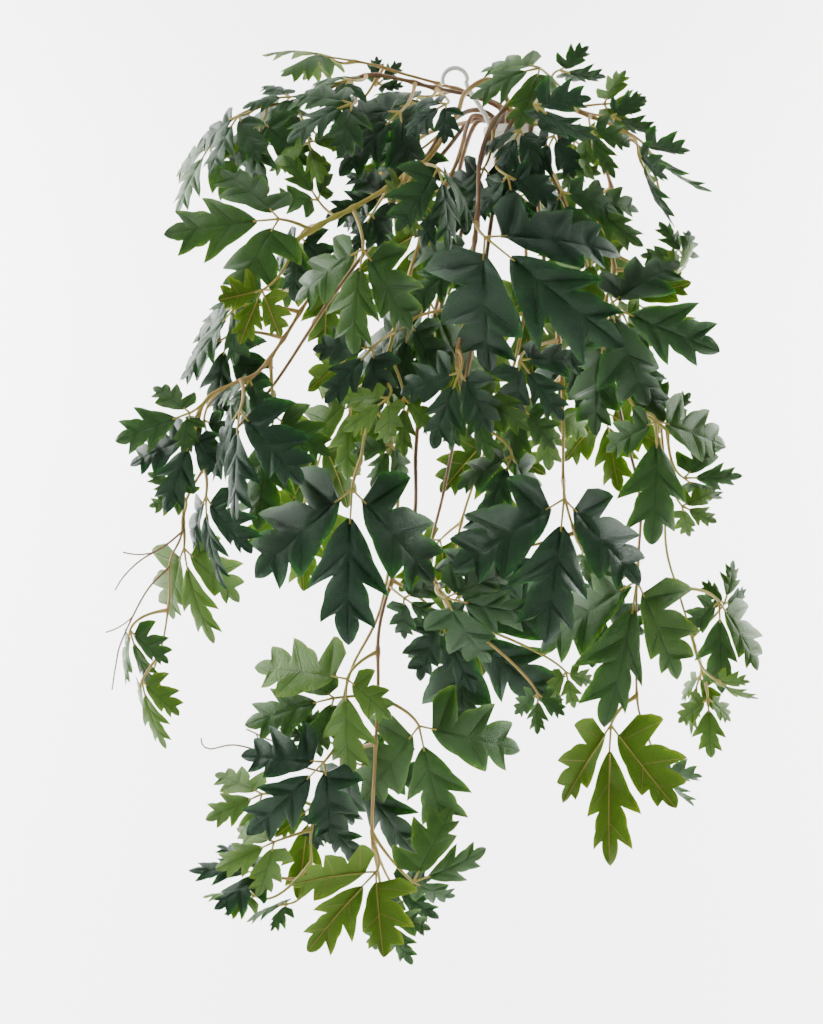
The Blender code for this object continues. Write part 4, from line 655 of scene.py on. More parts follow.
# Fine blades: each half's margin from base to tip as (along, out, rib station it joins, swell of the stretch
# that leads to it, vein number), in blade lengths. A side vein runs out where the vein number is whole.
bladeShape = {
    "middle": (
        ((0.0, 0.02, 0.0, 0.0, 0.0), (0.33, 0.25, 0.14, 0.02, 0.7), (0.55, 0.385, 0.24, 0.015, 1.0),
         (0.475, 0.15, 0.42, 0.0, 1.5), (0.66, 0.215, 0.52, 0.02, 1.8), (0.845, 0.27, 0.62, 0.012, 2.0),
         (0.765, 0.105, 0.74, 0.0, 2.5), (0.90, 0.09, 0.86, 0.012, 2.8), (1.0, 0.0, 1.0, 0.01, 3.0)),
        ((0.0, 0.02, 0.0, 0.0, 0.0), (0.36, 0.24, 0.17, 0.02, 0.7), (0.60, 0.365, 0.28, 0.015, 1.0),
         (0.515, 0.145, 0.46, 0.0, 1.5), (0.69, 0.205, 0.56, 0.02, 1.8), (0.865, 0.25, 0.66, 0.012, 2.0),
         (0.79, 0.10, 0.77, 0.0, 2.5), (0.91, 0.085, 0.88, 0.012, 2.8), (1.0, 0.0, 1.0, 0.01, 3.0))),
    "side": (
        ((0.0, 0.02, 0.0, 0.0, 0.0), (-0.06, 0.29, 0.012, -0.03, 0.6), (0.05, 0.43, 0.03, 0.02, 0.8),
         (0.18, 0.51, 0.07, 0.015, 1.0), (0.25, 0.15, 0.20, 0.0, 1.5), (0.44, 0.33, 0.31, 0.03, 1.8),
         (0.645, 0.43, 0.40, 0.015, 2.0), (0.59, 0.18, 0.56, 0.0, 2.5), (0.865, 0.27, 0.71, 0.03, 3.0),
         (0.81, 0.105, 0.80, 0.0, 3.5), (1.0, 0.0, 1.0, 0.03, 4.0)),
        ((0.0, 0.02, 0.0, 0.0, 0.0), (0.32, 0.20, 0.18, 0.03, 0.8), (0.685, 0.30, 0.44, 0.02, 1.0),
         (0.67, 0.14, 0.58, 0.0, 1.5), (0.885, 0.22, 0.75, 0.02, 2.0), (0.83, 0.08, 0.82, 0.0, 2.5),
         (1.0, 0.0, 1.0, 0.02, 3.0))),
    "rows": 38, "smallRows": 22,
    "columns": (0.0, 0.05, 0.16, 0.34, 0.56, 0.79, 1.0), "smallColumns": (0.0, 0.08, 0.32, 0.66, 1.0),
    "leastStep": 0.008,        # between rib stations
    "jitter": (0.018, 3.0),    # how far margin points stray along the rib, and how many times that outwards
    "round": 1.3,              # times the swell
    "thick": (0.42, 0.06),     # mm at the rib and least
    "quilt": (0.022, 0.062),   # rise between side veins of a young and an old blade, in blade lengths
    "arch": (0.75, 0.6, 0.3),  # share and power of the arch between side veins, share of the half as wide
    "archRun": (0.7, 0.8),     # power and share of a half wave that an arch follows from rib to margin
    "sink": (0.35, 0.8),       # share of the quilt that the whole half sinks by, and its power
    "calm": 0.5,               # share of the quilt lost at the tip
    "groove": (0.016, 0.018),  # depth and width of the rib's groove
    "wave": (0.014, 0.026),    # slow waves along the margin of a young and an old blade
    "waves": (9.0, 1.7),       # their turn along the rib, and how far the halves are out of step, in radians
    "hang": (0.03, 0.3),       # how far the lobes' tips bend down, and how far out
    "ageJitter": 0.3,
}


def margin(knots, stations):
    # Margin point and vein number at each rib station: quadratic arcs between the knots, the middle of each
    # off the straight line by its swell.
    k = np.array(knots)
    j = np.clip(np.searchsorted(k[:, 2], stations, side="right") - 1, 0, len(k) - 2)
    f = (stations - k[j, 2]) / (k[j + 1, 2] - k[j, 2])
    a, b = k[j, :2], k[j + 1, :2]
    step = b - a
    normal = np.stack((-step[:, 1], step[:, 0]), 1) / np.linalg.norm(step, axis=1)[:, None]
    c = (a + b) / 2 + normal * 2 * k[j + 1, 3][:, None]
    f = f[:, None]
    return (1 - f) ** 2 * a + 2 * f * (1 - f) * c + f ** 2 * b, k[j, 4] + (k[j + 1, 4] - k[j, 4]) * f[:, 0]


def bladeSheet(leaf, placed, kind, slims, draw):
    # One leaflet as a thin closed lens, with rows along the rib and columns out of it on both sides. Its
    # height is the leaf's own dip, droop and fold, plus an arch between side veins, less a groove along the
    # rib, plus waves that grow towards the margin, less a bend down at the lobes' tips.
    small = leaf.size == "small"
    columns = np.array(bladeShape["smallColumns" if small else "columns"])
    halves = bladeShape[kind]
    stray, outer = bladeShape["jitter"]
    knots = []
    for half, slim in zip(halves, slims):
        shift = [draw.uniform(-stray, stray) for _ in half]
        full = slim * bladeShape["round"]
        knots.append([(u + (d if 0 < i < len(half) - 1 else 0), v * slim * (1 + d * outer), r, s * full, n)
                      for i, ((u, v, r, s, n), d) in enumerate(zip(half, shift))])
    marks = sorted({k[2] for half in halves for k in half})
    rows = bladeShape["smallRows" if small else "rows"]
    stations = np.array(sorted(set(marks) | set(np.linspace(0, 1, rows))))
    stations = stations[np.r_[True, np.diff(stations) > bladeShape["leastStep"]]]
    stations[-1] = 1.0
    u, v, vein, edge = [], [], [], []
    for h, way in ((0, 1), (1, -1)):
        m, q = margin(knots[h], stations)
        t = columns[None, :]
        u.append(stations[:, None] * (1 - t) + m[:, :1] * t)
        v.append(way * m[:, 1:] * t)
        vein.append(np.repeat(q[:, None], len(columns), 1))
        edge.append(np.repeat(t, len(stations), 0))
    u, v, vein, edge = (np.concatenate((a[:, :0:-1], b), 1) for a, b in (u, v, vein, edge))
    phase = draw.uniform(0, 6.28)
    rise = -leaf.dip * u - leaf.droop * u * u + leaf.fold * np.abs(v)
    old = leaf.age / 3
    quilt, wave = (a + (b - a) * old for a, b in (bladeShape["quilt"], bladeShape["wave"]))
    whole, power, halved = bladeShape["arch"]
    pleat = whole * np.abs(np.sin(np.pi * vein)) ** power + halved * np.abs(np.sin(2 * np.pi * vein))
    power, share = bladeShape["archRun"]
    pleat *= np.sin(np.pi * share * np.clip(edge, 0, 1) ** power)
    sink, power = bladeShape["sink"]
    rise += quilt * (pleat - sink * np.sin(np.pi * edge ** power)) * (1 - bladeShape["calm"] * u)
    depth, width = bladeShape["groove"]
    rise -= depth * np.exp(-(v / width) ** 2) * (1 - u)
    turns, step = bladeShape["waves"]
    rise += wave * np.sin(turns * u + phase + np.where(v > 0, 0, step)) * edge ** 2
    hang, far = bladeShape["hang"]
    rise -= hang * edge ** 3 * np.cos(np.pi * vein) ** 2 * (np.abs(v) / far)
    length = placed[-1]
    base, rib, out, normal = (np.array(x) for x in placed[:-1])
    place3 = base + (u[..., None] * rib + v[..., None] * out + rise[..., None] * normal) * length
    most, least = bladeShape["thick"]
    half = (most * (1 - edge ** 2) + least)[..., None] / 2 * normal
    rows, cols = u.shape
    grid = np.arange(rows * cols).reshape(rows, cols)
    grid[-1] = grid[-1, 0]
    under = grid + rows * cols
    under[:, 0], under[:, -1], under[0], under[-1] = grid[:, 0], grid[:, -1], grid[0], grid[-1]
    verts = np.concatenate(((place3 + half).reshape(-1, 3), (place3 - half).reshape(-1, 3)))
    for line in (grid[:, 0], grid[:, -1], grid[0]):
        verts[line] = place3.reshape(-1, 3)[line]
    outward = np.cross(rib, out) @ normal > 0
    tris = np.concatenate((quads(grid, outward), quads(under, not outward)))
    looks = np.repeat((0, 1), (len(quads(grid, True)), len(quads(under, True))))
    spot = np.stack((u * length, v * length, np.full_like(u, draw.uniform(0, 900))), -1).reshape(-1, 3)
    # The tone carries the leaf's age, which also holds painted shade, to the leaf material's colour ramp.
    toneLevel = leaf.age + draw.uniform(-bladeShape["ageJitter"], bladeShape["ageJitter"])
    tone = np.stack((vein, edge, np.full_like(u, toneLevel)), -1).reshape(-1, 3)
    return verts, tris, looks, np.concatenate((spot, spot)), np.concatenate((tone, tone))


def quads(grid, outward):
    # Two triangles for each cell of a grid of point numbers, without those that have no area.
    a, b, c, d = grid[:-1, :-1], grid[1:, :-1], grid[1:, 1:], grid[:-1, 1:]
    tris = np.concatenate((np.stack((a, b, c), -1).reshape(-1, 3), np.stack((a, c, d), -1).reshape(-1, 3)))
    tris = tris[(tris[:, 0] != tris[:, 1]) & (tris[:, 1] != tris[:, 2]) & (tris[:, 0] != tris[:, 2])]
    return tris if outward else tris[:, ::-1]


barGirth = 3.0        # mm of a bar's texture for each radian round it
sharpAngle = math.radians(62)


def circle(sides):
    # Angles of the points of a ring.
    return np.linspace(0, 2 * np.pi, sides, endpoint=False)


def roundBar(path, radii, sides, tone, seed):
    # Closed bar: rings of the given radii round each point of a path, square to it, and a point at both ends.
    path, radii = np.asarray(path, float), np.asarray(radii, float)
    turned = frames([Vector(p) for p in path])
    s, n = np.array([f[1] for f in turned]), np.array([f[2] for f in turned])
    a = circle(sides)
    ring = s[:, None] * np.cos(a)[None, :, None] + n[:, None] * np.sin(a)[None, :, None]
    verts = (path[:, None] + ring * radii.reshape(len(path), -1)[..., None]).reshape(-1, 3)
    rows = len(path)
    grid = np.arange(rows * sides).reshape(rows, sides)
    grid = np.concatenate((grid, grid[:, :1]), 1)
    first, last = np.full((1, sides + 1), rows * sides), np.full((1, sides + 1), rows * sides + 1)
    grid = np.concatenate((first, grid, last))
    verts = np.concatenate((verts, path[:1], path[-1:]))
    run = np.r_[0, np.cumsum(np.linalg.norm(np.diff(path, axis=0), axis=1))]
    spot = np.stack((np.repeat(run, sides), np.tile(a, rows) * barGirth, np.full(rows * sides, seed)), 1)
    spot = np.concatenate((spot, spot[:1], spot[-1:]))
    shade = np.zeros((len(verts), 3))
    shade[:-2, 0], shade[-2:, 0] = np.repeat(tone, sides), (tone[0], tone[-1])
    return verts, quads(grid, False), spot, shade


def joined(parts):
    # All parts (points, triangles, looks, spot, tone) as one set of arrays.
    start, out = 0, [[], [], [], [], []]
    for verts, tris, looks, spot, tone in parts:
        for store, item in zip(out, (verts, tris + start, looks, spot, tone)):
            store.append(item)
        start += len(verts)
    return [np.concatenate(x) for x in out]


def surface(name, verts, tris, looks, spot, tone, materials):
    # Object in metres made of triangles, each with its material's number, and two attributes for materials.
    mesh = bpy.data.meshes.new(name)
    mesh.vertices.add(len(verts))
    mesh.vertices.foreach_set("co", (verts * 0.001).astype(np.float32).ravel())
    mesh.loops.add(len(tris) * 3)
    mesh.loops.foreach_set("vertex_index", tris.astype(np.int32).ravel())
    mesh.polygons.add(len(tris))
    mesh.polygons.foreach_set("loop_start", np.arange(0, len(tris) * 3, 3, dtype=np.int32))
    mesh.polygons.foreach_set("material_index", looks.astype(np.int32))
    for label, values in (("spot", spot), ("tone", tone)):
        store = mesh.attributes.new(label, "FLOAT_VECTOR", "POINT").data
        store.foreach_set("vector", values.astype(np.float32).ravel())
    for material in materials:
        mesh.materials.append(material)
    mesh.update(calc_edges=True)
    mesh.shade_smooth()
    mesh.set_sharp_from_angle(angle=sharpAngle)
    item = bpy.data.objects.new(name, mesh)
    bpy.context.scene.collection.objects.link(item)
    return item


stemShape = {
    "sides": 9, "step": 4.0,     # mm between rings
    "slim": 0.82,                # share of the plain radius between joints
    "swell": 0.5, "reach": 5.0,  # joints are thicker by this share, over this many mm
    "foot": (0.9, 4.0),          # share of the radius in the filler's hole, and mm that it goes on above it
    "ribs": (0.05, 3, 0.13),     # share, number and turn per mm of the faint ribs
    "lumps": (0.03, 0.5),        # share and turn per mm of the faint lumps along the stem
    "brown": (1.15, 0.3, 2.4),   # tone at the foot, how much it differs among vines, and by what step
    "petiole": (1.9, 1.3),       # mm, radii at the stem and at the leaf
    "petioleRoot": (0.7, 0.12),  # mm by which it swells at the stem, and over what share of its length
    "petioleTone": (0.45, 0.15), "petioleAgeShade": (0.4, 0.2),     # share of the tone, and per step of age and painted shade
    "petioleGrown": (0.75, 0.25, 90.0, 1.3),     # least share, share for 90 mm of leaf, most of these
    "stalk": (1.35, 0.95), "stalkTone": 0.12,
    "rib": (0.75, 0.12), "smallRib": (0.5, 0.12),     # mm, radii at base and tip
    "ribSink": 0.55, "ribTone": 0.1,
    "tendril": (1.3, 0.8), "tendrilTone": 0.95,
    "fork": (0.45, 4, 0.55),     # where a tendril forks, how many points give its direction, and the turn
    "twig": ((0.7, 0.4), (1.2, 1.5), 0.8),       # its bend and tip as ahead and aside, share of the thickness
}


def bent(points, parts):
    # Quadratic curve through two ends that leans to the middle point.
    t = np.linspace(0, 1, parts + 1)[:, None]
    a, b, c = (np.array(p, float) for p in points)
    return (1 - t) ** 2 * a + 2 * t * (1 - t) * b + t ** 2 * c


def stemPiece(path, spec, roots, seed):
    # Stem whose radius runs from foot to end, swells as a bell curve about each joint and is a little uneven.
    path = np.array(path, float)
    run = np.r_[0, np.cumsum(np.linalg.norm(np.diff(path, axis=0), axis=1))]
    marks = np.linspace(0, run[-1], int(run[-1] / stemShape["step"]) + 1)
    fine = np.stack([np.interp(marks, run, path[:, i]) for i in range(3)], 1)
    r0, r1 = spec["radius"]
    radii = r0 + (r1 - r0) * marks / run[-1]
    joints = run[sorted(set(roots))] if roots else np.array([])
    bells = np.exp(-((marks[:, None] - joints[None, :]) / stemShape["reach"]) ** 2).sum(1)
    radii = radii * (stemShape["slim"] + stemShape["swell"] * np.clip(bells, 0, 1))
    share, above = stemShape["foot"]
    radii[marks < holeSize["depth"] + above] = r0 * share
    sides = stemShape["sides"]
    high, count, turn = stemShape["ribs"]
    uneven = 1 + high * np.sin(count * circle(sides)[None, :] + marks[:, None] * turn + seed)
    high, turn = stemShape["lumps"]
    uneven += high * np.sin(marks[:, None] * turn)
    start, differ, step = stemShape["brown"]
    tone = np.clip(start - marks / run[-1] + differ * math.sin(seed * step), 0, 1)
    return roundBar(fine, radii[:, None] * uneven, sides, tone, seed)


def vinePiece(name, spec, path, placed, seed, materials):
    # One vine: stem, petioles, stalks, ribs, blades and tendrils in one mesh.
    draw = random.Random(name)
    parts = []

    def bar(line, radii, tone, sides=7):
        verts, tris, spot, shade = roundBar(line, radii, sides, tone, draw.uniform(0, 900))
        parts.append((verts, tris, np.full(len(tris), 2), spot, shade))

    verts, tris, spot, shade = stemPiece(path, spec, [sprig.root for sprig in placed], seed)
    parts.append((verts, tris, np.full(len(tris), 2), spot, shade))
    for sprig in placed:
        leaf = sprig.leaf
        u = np.linspace(0, 1, 13)
        root, reach = stemShape["petioleRoot"]
        least, share, full, most = stemShape["petioleGrown"]
        grown = least + share * min(most, leaf.length / full)
        radii = np.linspace(*stemShape["petiole"], len(u)) * grown + root * np.exp(-(u / reach) ** 2)
        # The petiole's tone darkens with the leaf's age value, which is partly painted shade.
        young, ageShadeStep = stemShape["petioleAgeShade"]
        tone = np.linspace(*stemShape["petioleTone"], len(u)) * (young + ageShadeStep * leaf.age)
        bar(bent(sprig.petiole, 12), radii, tone)
        angles = [angle for _, angle, _, _ in leaf.leaflets()]
        for number, (kind, angle, _, _) in enumerate(leaf.leaflets()):
            placed3 = leaf.frame(number)
            base, _, _, up, length = placed3
            slims = ((1.0, leaf.slim(angle)) if kind == "side"
                     else (leaf.slim(angles[0]), leaf.slim(angles[2])))
            middle = (leaf.hub + base) / 2 + leaf.normal * 0.2
            stalk = bent((leaf.hub, middle, leaf.blade(placed3, 0.05, 0)), 5)
            bar(stalk, np.linspace(*stemShape["stalk"], 6), np.full(6, stemShape["stalkTone"]), 6)
            parts.append(bladeSheet(leaf, placed3, kind, slims, draw))
            u = np.linspace(0.02, 0.96, 12)
            sunk = bladeShape["groove"][0] * length
            rib = [leaf.blade(placed3, x, 0) - up * (stemShape["ribSink"] + sunk * (1 - x)) for x in u]
            thick, thin = stemShape["smallRib" if leaf.size == "small" else "rib"]
            bar(np.array(rib), thick * (1 - u) ** 0.7 + thin, np.full(12, stemShape["ribTone"]), 5)
    for line in spec.get("tendrils", ()):
        line = np.array(smoothPath([place(*p) for p in line], 5))
        thick = np.linspace(*stemShape["tendril"], len(line))
        bar(line, thick, np.full(len(line), stemShape["tendrilTone"]), 6)
        share, points, wide = stemShape["fork"]
        fork = int(len(line) * share)
        start = line[fork]
        ahead = line[min(fork + points, len(line) - 1)] - start
        turn = np.array((ahead[2], ahead[1], -ahead[0])) * wide
        bend, tip, share = stemShape["twig"]
        bend, tip = (start + ahead * p + turn * q for p, q in (bend, tip))
        twig = bent((start, bend, tip), 8)
        thick = np.linspace(thick[fork] * share, stemShape["tendril"][1], 9)
        bar(twig, thick, np.full(9, stemShape["tendrilTone"]), 6)
    return surface(name, *joined(parts), materials)


def link(tree, made, inputs):
    # Links each input that is given a socket, and sets the others to their values.
    for name, value in inputs.items():
        socket = made.inputs[name]
        if isinstance(value, bpy.types.NodeSocket):
            tree.links.new(value, socket)
        else:
            socket.default_value = value


def node(tree, kind, settings=None, **inputs):
    # New shader node with its settings, and its inputs set or linked by number or name.
    made = tree.nodes.new("ShaderNode" + kind)
    for name, value in (settings or {}).items():
        setattr(made, name, value)
    link(tree, made, {int(k[1:]) if k[0] == "_" else k: v for k, v in inputs.items()})
    return made


def calc(tree, operation, a, b=0.0, c=0.0):
    # One sum of up to three values.
    return node(tree, "Math", {"operation": operation}, _0=a, _1=b, _2=c).outputs[0]


def fade(tree, value, low, high):
    # 0 below low, 1 above high, smooth between.
    made = node(tree, "MapRange", {"interpolation_type": "SMOOTHSTEP"}, _0=value, _1=low, _2=high)
    return made.outputs[0]


def mixed(tree, amount, a, b):
    # Colour a at amount 0, colour b at amount 1.
    made = node(tree, "Mix", {"data_type": "RGBA"}, _0=amount, _6=a, _7=b)
    return made.outputs[2]


def ramp(tree, value, stops):
    # Colour by value, blended between stops of (value, colour).
    made = node(tree, "ValToRGB", None, _0=value)
    while len(made.color_ramp.elements) < len(stops):
        made.color_ramp.elements.new(1.0)
    for element, (place1, colour) in zip(made.color_ramp.elements, stops):
        element.position, element.color = place1, colour
    return made.outputs[0]


def paint(red, green, blue):
    # Linear colour of a paint named in the usual 0 to 255 steps.
    return tuple(((c / 255 + 0.055) / 1.055) ** 2.4 for c in (red, green, blue)) + (1.0,)


def newLook(name):
    # New material with its node tree and shader.
    look = bpy.data.materials.new(name)
    look.use_nodes = True
    return look, look.node_tree, look.node_tree.nodes["Principled BSDF"]


# Pairs are for the upper face and the underside, but for the side veins' half widths at the rib and at the
# margin, the rib's half widths where it is full and gone, and the bump's strength and depth.
leafLook = {
    # Colour ramps run from young to old by the age value; their dark old end also serves as painted shade.
    "upper": ((0.0, paint(84, 122, 20)), (0.33, paint(50, 90, 20)), (0.66, paint(30, 68, 24)),
              (1.0, paint(17, 52, 28))),
    "under": ((0.0, paint(98, 132, 22)), (0.4, paint(84, 116, 24)), (1.0, paint(58, 88, 32))),
    "line": (paint(22, 50, 26), paint(166, 142, 78)),
    "gloss": (0.4, 0.35), "coat": 0.07, "coatRough": 0.28, "translucent": 0.07,
    "rough": (0.36, 0.5), "roughBy": 0.24, "bump": (0.9, 0.0013),
    "broad": 0.045, "fine": 0.7, "cell": 0.55,    # features for each mm
    "mottle": 0.22, "grain": 0.3, "lines": (0.38, 0.6), "nets": (0.10, 0.15),
    "sideVein": (0.024, 0.012), "rib": (0.2, 0.8), "net": 0.12,
}


def leafMaterial(name, upper):
    # Leaf face: colour by age and painted shade, mottled, dark veins above, tan below, cell bumps, waxy
    # gloss.
    look, tree, shader = newLook(name)
    tone = node(tree, "Attribute", {"attribute_name": "tone"}).outputs["Vector"]
    spot = node(tree, "Attribute", {"attribute_name": "spot"}).outputs["Vector"]
    vein, edge, age = node(tree, "SeparateXYZ", None, _0=tone).outputs
    across = node(tree, "SeparateXYZ", None, _0=spot).outputs[1]
    face = 0 if upper else 1
    broad = node(tree, "TexNoise", None, Vector=spot, Scale=leafLook["broad"], Detail=3.0).outputs[0]
    fine = node(tree, "TexNoise", None, Vector=spot, Scale=leafLook["fine"], Detail=4.0).outputs[0]
    cells = node(tree, "TexVoronoi", {"feature": "DISTANCE_TO_EDGE"}, Vector=spot, Scale=leafLook["cell"])
    mottle = leafLook["mottle"]
    # The age value also holds painted shade, so leaves set in shade take the darker end of the ramp.
    toneLevel = calc(tree, "MULTIPLY_ADD", age, 0.33, calc(tree, "MULTIPLY_ADD", broad, mottle, -mottle / 2))
    colour = ramp(tree, toneLevel, leafLook["upper" if upper else "under"])
    # Side veins lie where the vein number is whole, and thin out towards the margin.
    away = calc(tree, "FRACT", calc(tree, "ADD", vein, 0.5))
    away = calc(tree, "ABSOLUTE", calc(tree, "SUBTRACT", away, 0.5))
    atRib, atMargin = leafLook["sideVein"]
    width = calc(tree, "MULTIPLY_ADD", edge, atMargin - atRib, atRib)
    side = calc(tree, "SUBTRACT", 1.0, fade(tree, calc(tree, "DIVIDE", away, width), 0.3, 1.0))
    side = calc(tree, "MULTIPLY", side, fade(tree, edge, 1.0, 0.8))
    rib = calc(tree, "SUBTRACT", 1.0, fade(tree, calc(tree, "ABSOLUTE", across), *leafLook["rib"]))
    net = calc(tree, "SUBTRACT", 1.0, fade(tree, cells.outputs[0], 0.0, leafLook["net"]))
    dark, line = leafLook["line"][0], leafLook["line"][face]
    for mask, amount, tint in ((fine, leafLook["grain"], dark),
                               (calc(tree, "MAXIMUM", side, rib), leafLook["lines"][face], line),
                               (net, leafLook["nets"][face], dark)):
        colour = mixed(tree, calc(tree, "MULTIPLY", mask, amount), colour, tint)
    height = calc(tree, "MULTIPLY_ADD", net, -0.25, calc(tree, "MULTIPLY", fine, 0.6))
    height = calc(tree, "MULTIPLY_ADD", side, -0.8 if upper else 0.8, height)
    strength, deep = leafLook["bump"]
    bump = node(tree, "Bump", None, Strength=strength, Distance=deep, Height=height).outputs[0]
    rough = calc(tree, "MULTIPLY_ADD", broad, leafLook["roughBy"], leafLook["rough"][face])
    link(tree, shader, {"Base Color": colour, "Roughness": rough, "Normal": bump, "IOR": 1.45,
                        "Subsurface Weight": leafLook["translucent"], "Subsurface Scale": 0.0012})
    shader.inputs["Subsurface Radius"].default_value = (0.7, 1.0, 0.2)
    shader.inputs["Specular IOR Level"].default_value = leafLook["gloss"][face]
    if upper:
        shader.inputs["Coat Weight"].default_value = leafLook["coat"]
        shader.inputs["Coat Roughness"].default_value = leafLook["coatRough"]
    return look


stemLook = {
    "stops": ((0.0, paint(152, 146, 58)), (0.3, paint(168, 136, 68)), (0.62, paint(134, 96, 66)),
              (1.0, paint(88, 60, 50))),
    "scar": paint(78, 54, 40), "green": paint(112, 124, 52),
}


def stemMaterial(name):
    # Stem: green-yellow when young to red-brown when old, streaked along its length, with small warts.
    look, tree, shader = newLook(name)
    tone = node(tree, "Attribute", {"attribute_name": "tone"}).outputs["Vector"]
    spot = node(tree, "Attribute", {"attribute_name": "spot"}).outputs["Vector"]
    old = node(tree, "SeparateXYZ", None, _0=tone).outputs[0]
    long = node(tree, "Mapping", None, Vector=spot, Scale=(0.05, 0.6, 1.0)).outputs[0]
    streak = node(tree, "TexNoise", None, Vector=long, Scale=1.0, Detail=4.0).outputs[0]
    patch = node(tree, "TexNoise", None, Vector=spot, Scale=0.02, Detail=2.0).outputs[0]
    warts = node(tree, "TexVoronoi", None, Vector=spot, Scale=0.32).outputs[0]
    toneLevel = calc(tree, "MULTIPLY_ADD", patch, 0.7, calc(tree, "MULTIPLY_ADD", old, 0.75, -0.3))
    colour = ramp(tree, toneLevel, stemLook["stops"])
    green = calc(tree, "MULTIPLY", fade(tree, streak, 0.45, 0.7), 0.45)
    colour = mixed(tree, green, colour, stemLook["green"])
    wart = calc(tree, "SUBTRACT", 1.0, fade(tree, warts, 0.08, 0.25))
    colour = mixed(tree, calc(tree, "MULTIPLY", wart, 0.4), colour, stemLook["scar"])
    height = calc(tree, "ADD", calc(tree, "MULTIPLY", streak, 0.7), wart)
    bump = node(tree, "Bump", None, Strength=0.6, Distance=0.0005, Height=height).outputs[0]
    link(tree, shader, {"Base Color": colour, "Roughness": 0.55, "Normal": bump})
    return look


def plasticMaterial(name, colour, dull, grain):
    # Moulded plastic: faint mottling and scuffs, fine grain.
    look, tree, shader = newLook(name)
    where = node(tree, "TexCoord").outputs["Object"]
    cloud = node(tree, "TexNoise", None, Vector=where, Scale=60.0, Detail=4.0).outputs[0]
    fine = node(tree, "TexNoise", None, Vector=where, Scale=grain, Detail=2.0).outputs[0]
    shade = mixed(tree, calc(tree, "MULTIPLY", cloud, 0.25), colour, paint(176, 170, 156))
    bump = node(tree, "Bump", None, Strength=0.15, Distance=0.0002, Height=fine).outputs[0]
    rough = calc(tree, "MULTIPLY_ADD", cloud, 0.2, dull)
    link(tree, shader, {"Base Color": shade, "Roughness": rough, "Normal": bump})
    return look


def fibreMaterial(name):
    # Potting fibre: dark crumbs with lighter flecks.
    look, tree, shader = newLook(name)
    where = node(tree, "TexCoord").outputs["Object"]
    crumbs = node(tree, "TexVoronoi", None, Vector=where, Scale=420.0).outputs[0]
    cloud = node(tree, "TexNoise", None, Vector=where, Scale=900.0, Detail=5.0).outputs[0]
    stops = ((0.3, paint(38, 28, 20)), (0.6, paint(72, 52, 36)), (0.8, paint(120, 92, 62)))
    colour = ramp(tree, cloud, stops)
    bump = node(tree, "Bump", None, Strength=1.0, Distance=0.001, Height=crumbs).outputs[0]
    link(tree, shader, {"Base Color": colour, "Roughness": 0.95, "Normal": bump})
    return look


def solidTree(item):
    # Search tree of a node of the frame, in mm.
    return tree([item.matrix_world @ v.co * 1000 for v in item.data.vertices],
                [tuple(face.vertices) for face in item.data.polygons])


stems, sprigs = layOut([solidTree(frame["nodes"][name]) for name in ("pot", "hook_left", "hook_right")])
print("vines placed", len(stems), "leaves", len(sprigs))
vineLooks = [leafMaterial("leafUpper", True), leafMaterial("leafUnder", False), stemMaterial("stemBark")]
for seed, (name, spec) in enumerate(vines.items()):
    placed = [sprig for sprig in sprigs if sprig.vine == name]
    piece = vinePiece(name + "Vine", spec, stems[name][0], placed, seed, vineLooks)
    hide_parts("vine_" + name)
    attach(piece, "root")
made = [item for item in bpy.data.objects if item.name.endswith("Vine")]
print("vines built", sum(len(item.data.polygons) for item in made), "triangles")


def ringed(name, x, y, z, material):
    # Closed piece whose points are rings about the axis, where a ring without width is one point.
    grid = np.arange(x.size).reshape(x.shape)
    single = np.hypot(x, y).max(1) == 0
    grid[single] = grid[single][:, :1]
    grid = np.concatenate((grid, grid[:, :1]), 1)
    used, tris = np.unique(quads(grid, False), return_inverse=True)
    tris = tris.reshape(-1, 3)
    verts = np.stack((x, y, z), -1).reshape(-1, 3)[used]
    spare = np.zeros((len(used), 3))
    return surface(name, verts, tris, np.zeros(len(tris)), spare, spare, [material])


def softened(points, radius, parts=4):
    # Profile with each corner that has a radius rounded by a quadratic arc.
    out = []
    for i, (p, r) in enumerate(zip(points, radius)):
        p = np.array(p, float)
        if r == 0:
            out.append(p)
            continue
        a, b = (np.array(points[j % len(points)], float) - p for j in (i - 1, i + 1))
        a, b = p + a / np.linalg.norm(a) * r, p + b / np.linalg.norm(b) * r
        for t in np.linspace(0, 1, parts + 1):
            out.append((1 - t) ** 2 * a + 2 * t * (1 - t) * p + t ** 2 * b)
    return out


potShape = {"corners": (0, 1.6, 0.4, 0.7, 0.9, 0.6, 1.0, 0), "sides": 72}     # mm, how far each is rounded


def potPiece(material):
    # Pot turned from a profile of its foot, side, lip and inside.
    rim, foot = potSize["rim"], potSize["rim"] - potSize["height"]
    under, wall = rim - potSize["lip"], potSize["wall"]
    points = ((0, foot), (potSize["footR"], foot), (potSize["topR"], under), (potSize["lipR"], under),
              (potSize["lipR"], rim), (potSize["topR"] - wall, rim), (potSize["footR"] - wall, foot + wall),
              (0, foot + wall))
    profile = np.array(softened(points, potShape["corners"]))
    radius, height = profile[:, :1], profile[:, 1:]
    a = circle(potShape["sides"])
    return ringed("pot", radius * np.cos(a), radius * np.sin(a), height + 0 * a, material)


hookSize = {          # mm; legs: side, x of the leg, z of the crook's top, along the wire's centre line
    "wire": 2.3, "arc": 12.2, "turn": math.radians(38), "rest": 0.4, "rise": 4.0, "top": 6.0,
    "crook": math.radians(200), "crookSteps": 24, "lipSteps": 6, "tip": 0.72, "sides": 16,
    "legs": {"hookLeft": (-1, -45.2, 2.3), "hookRight": (1, 24.9, -10.4)},
}


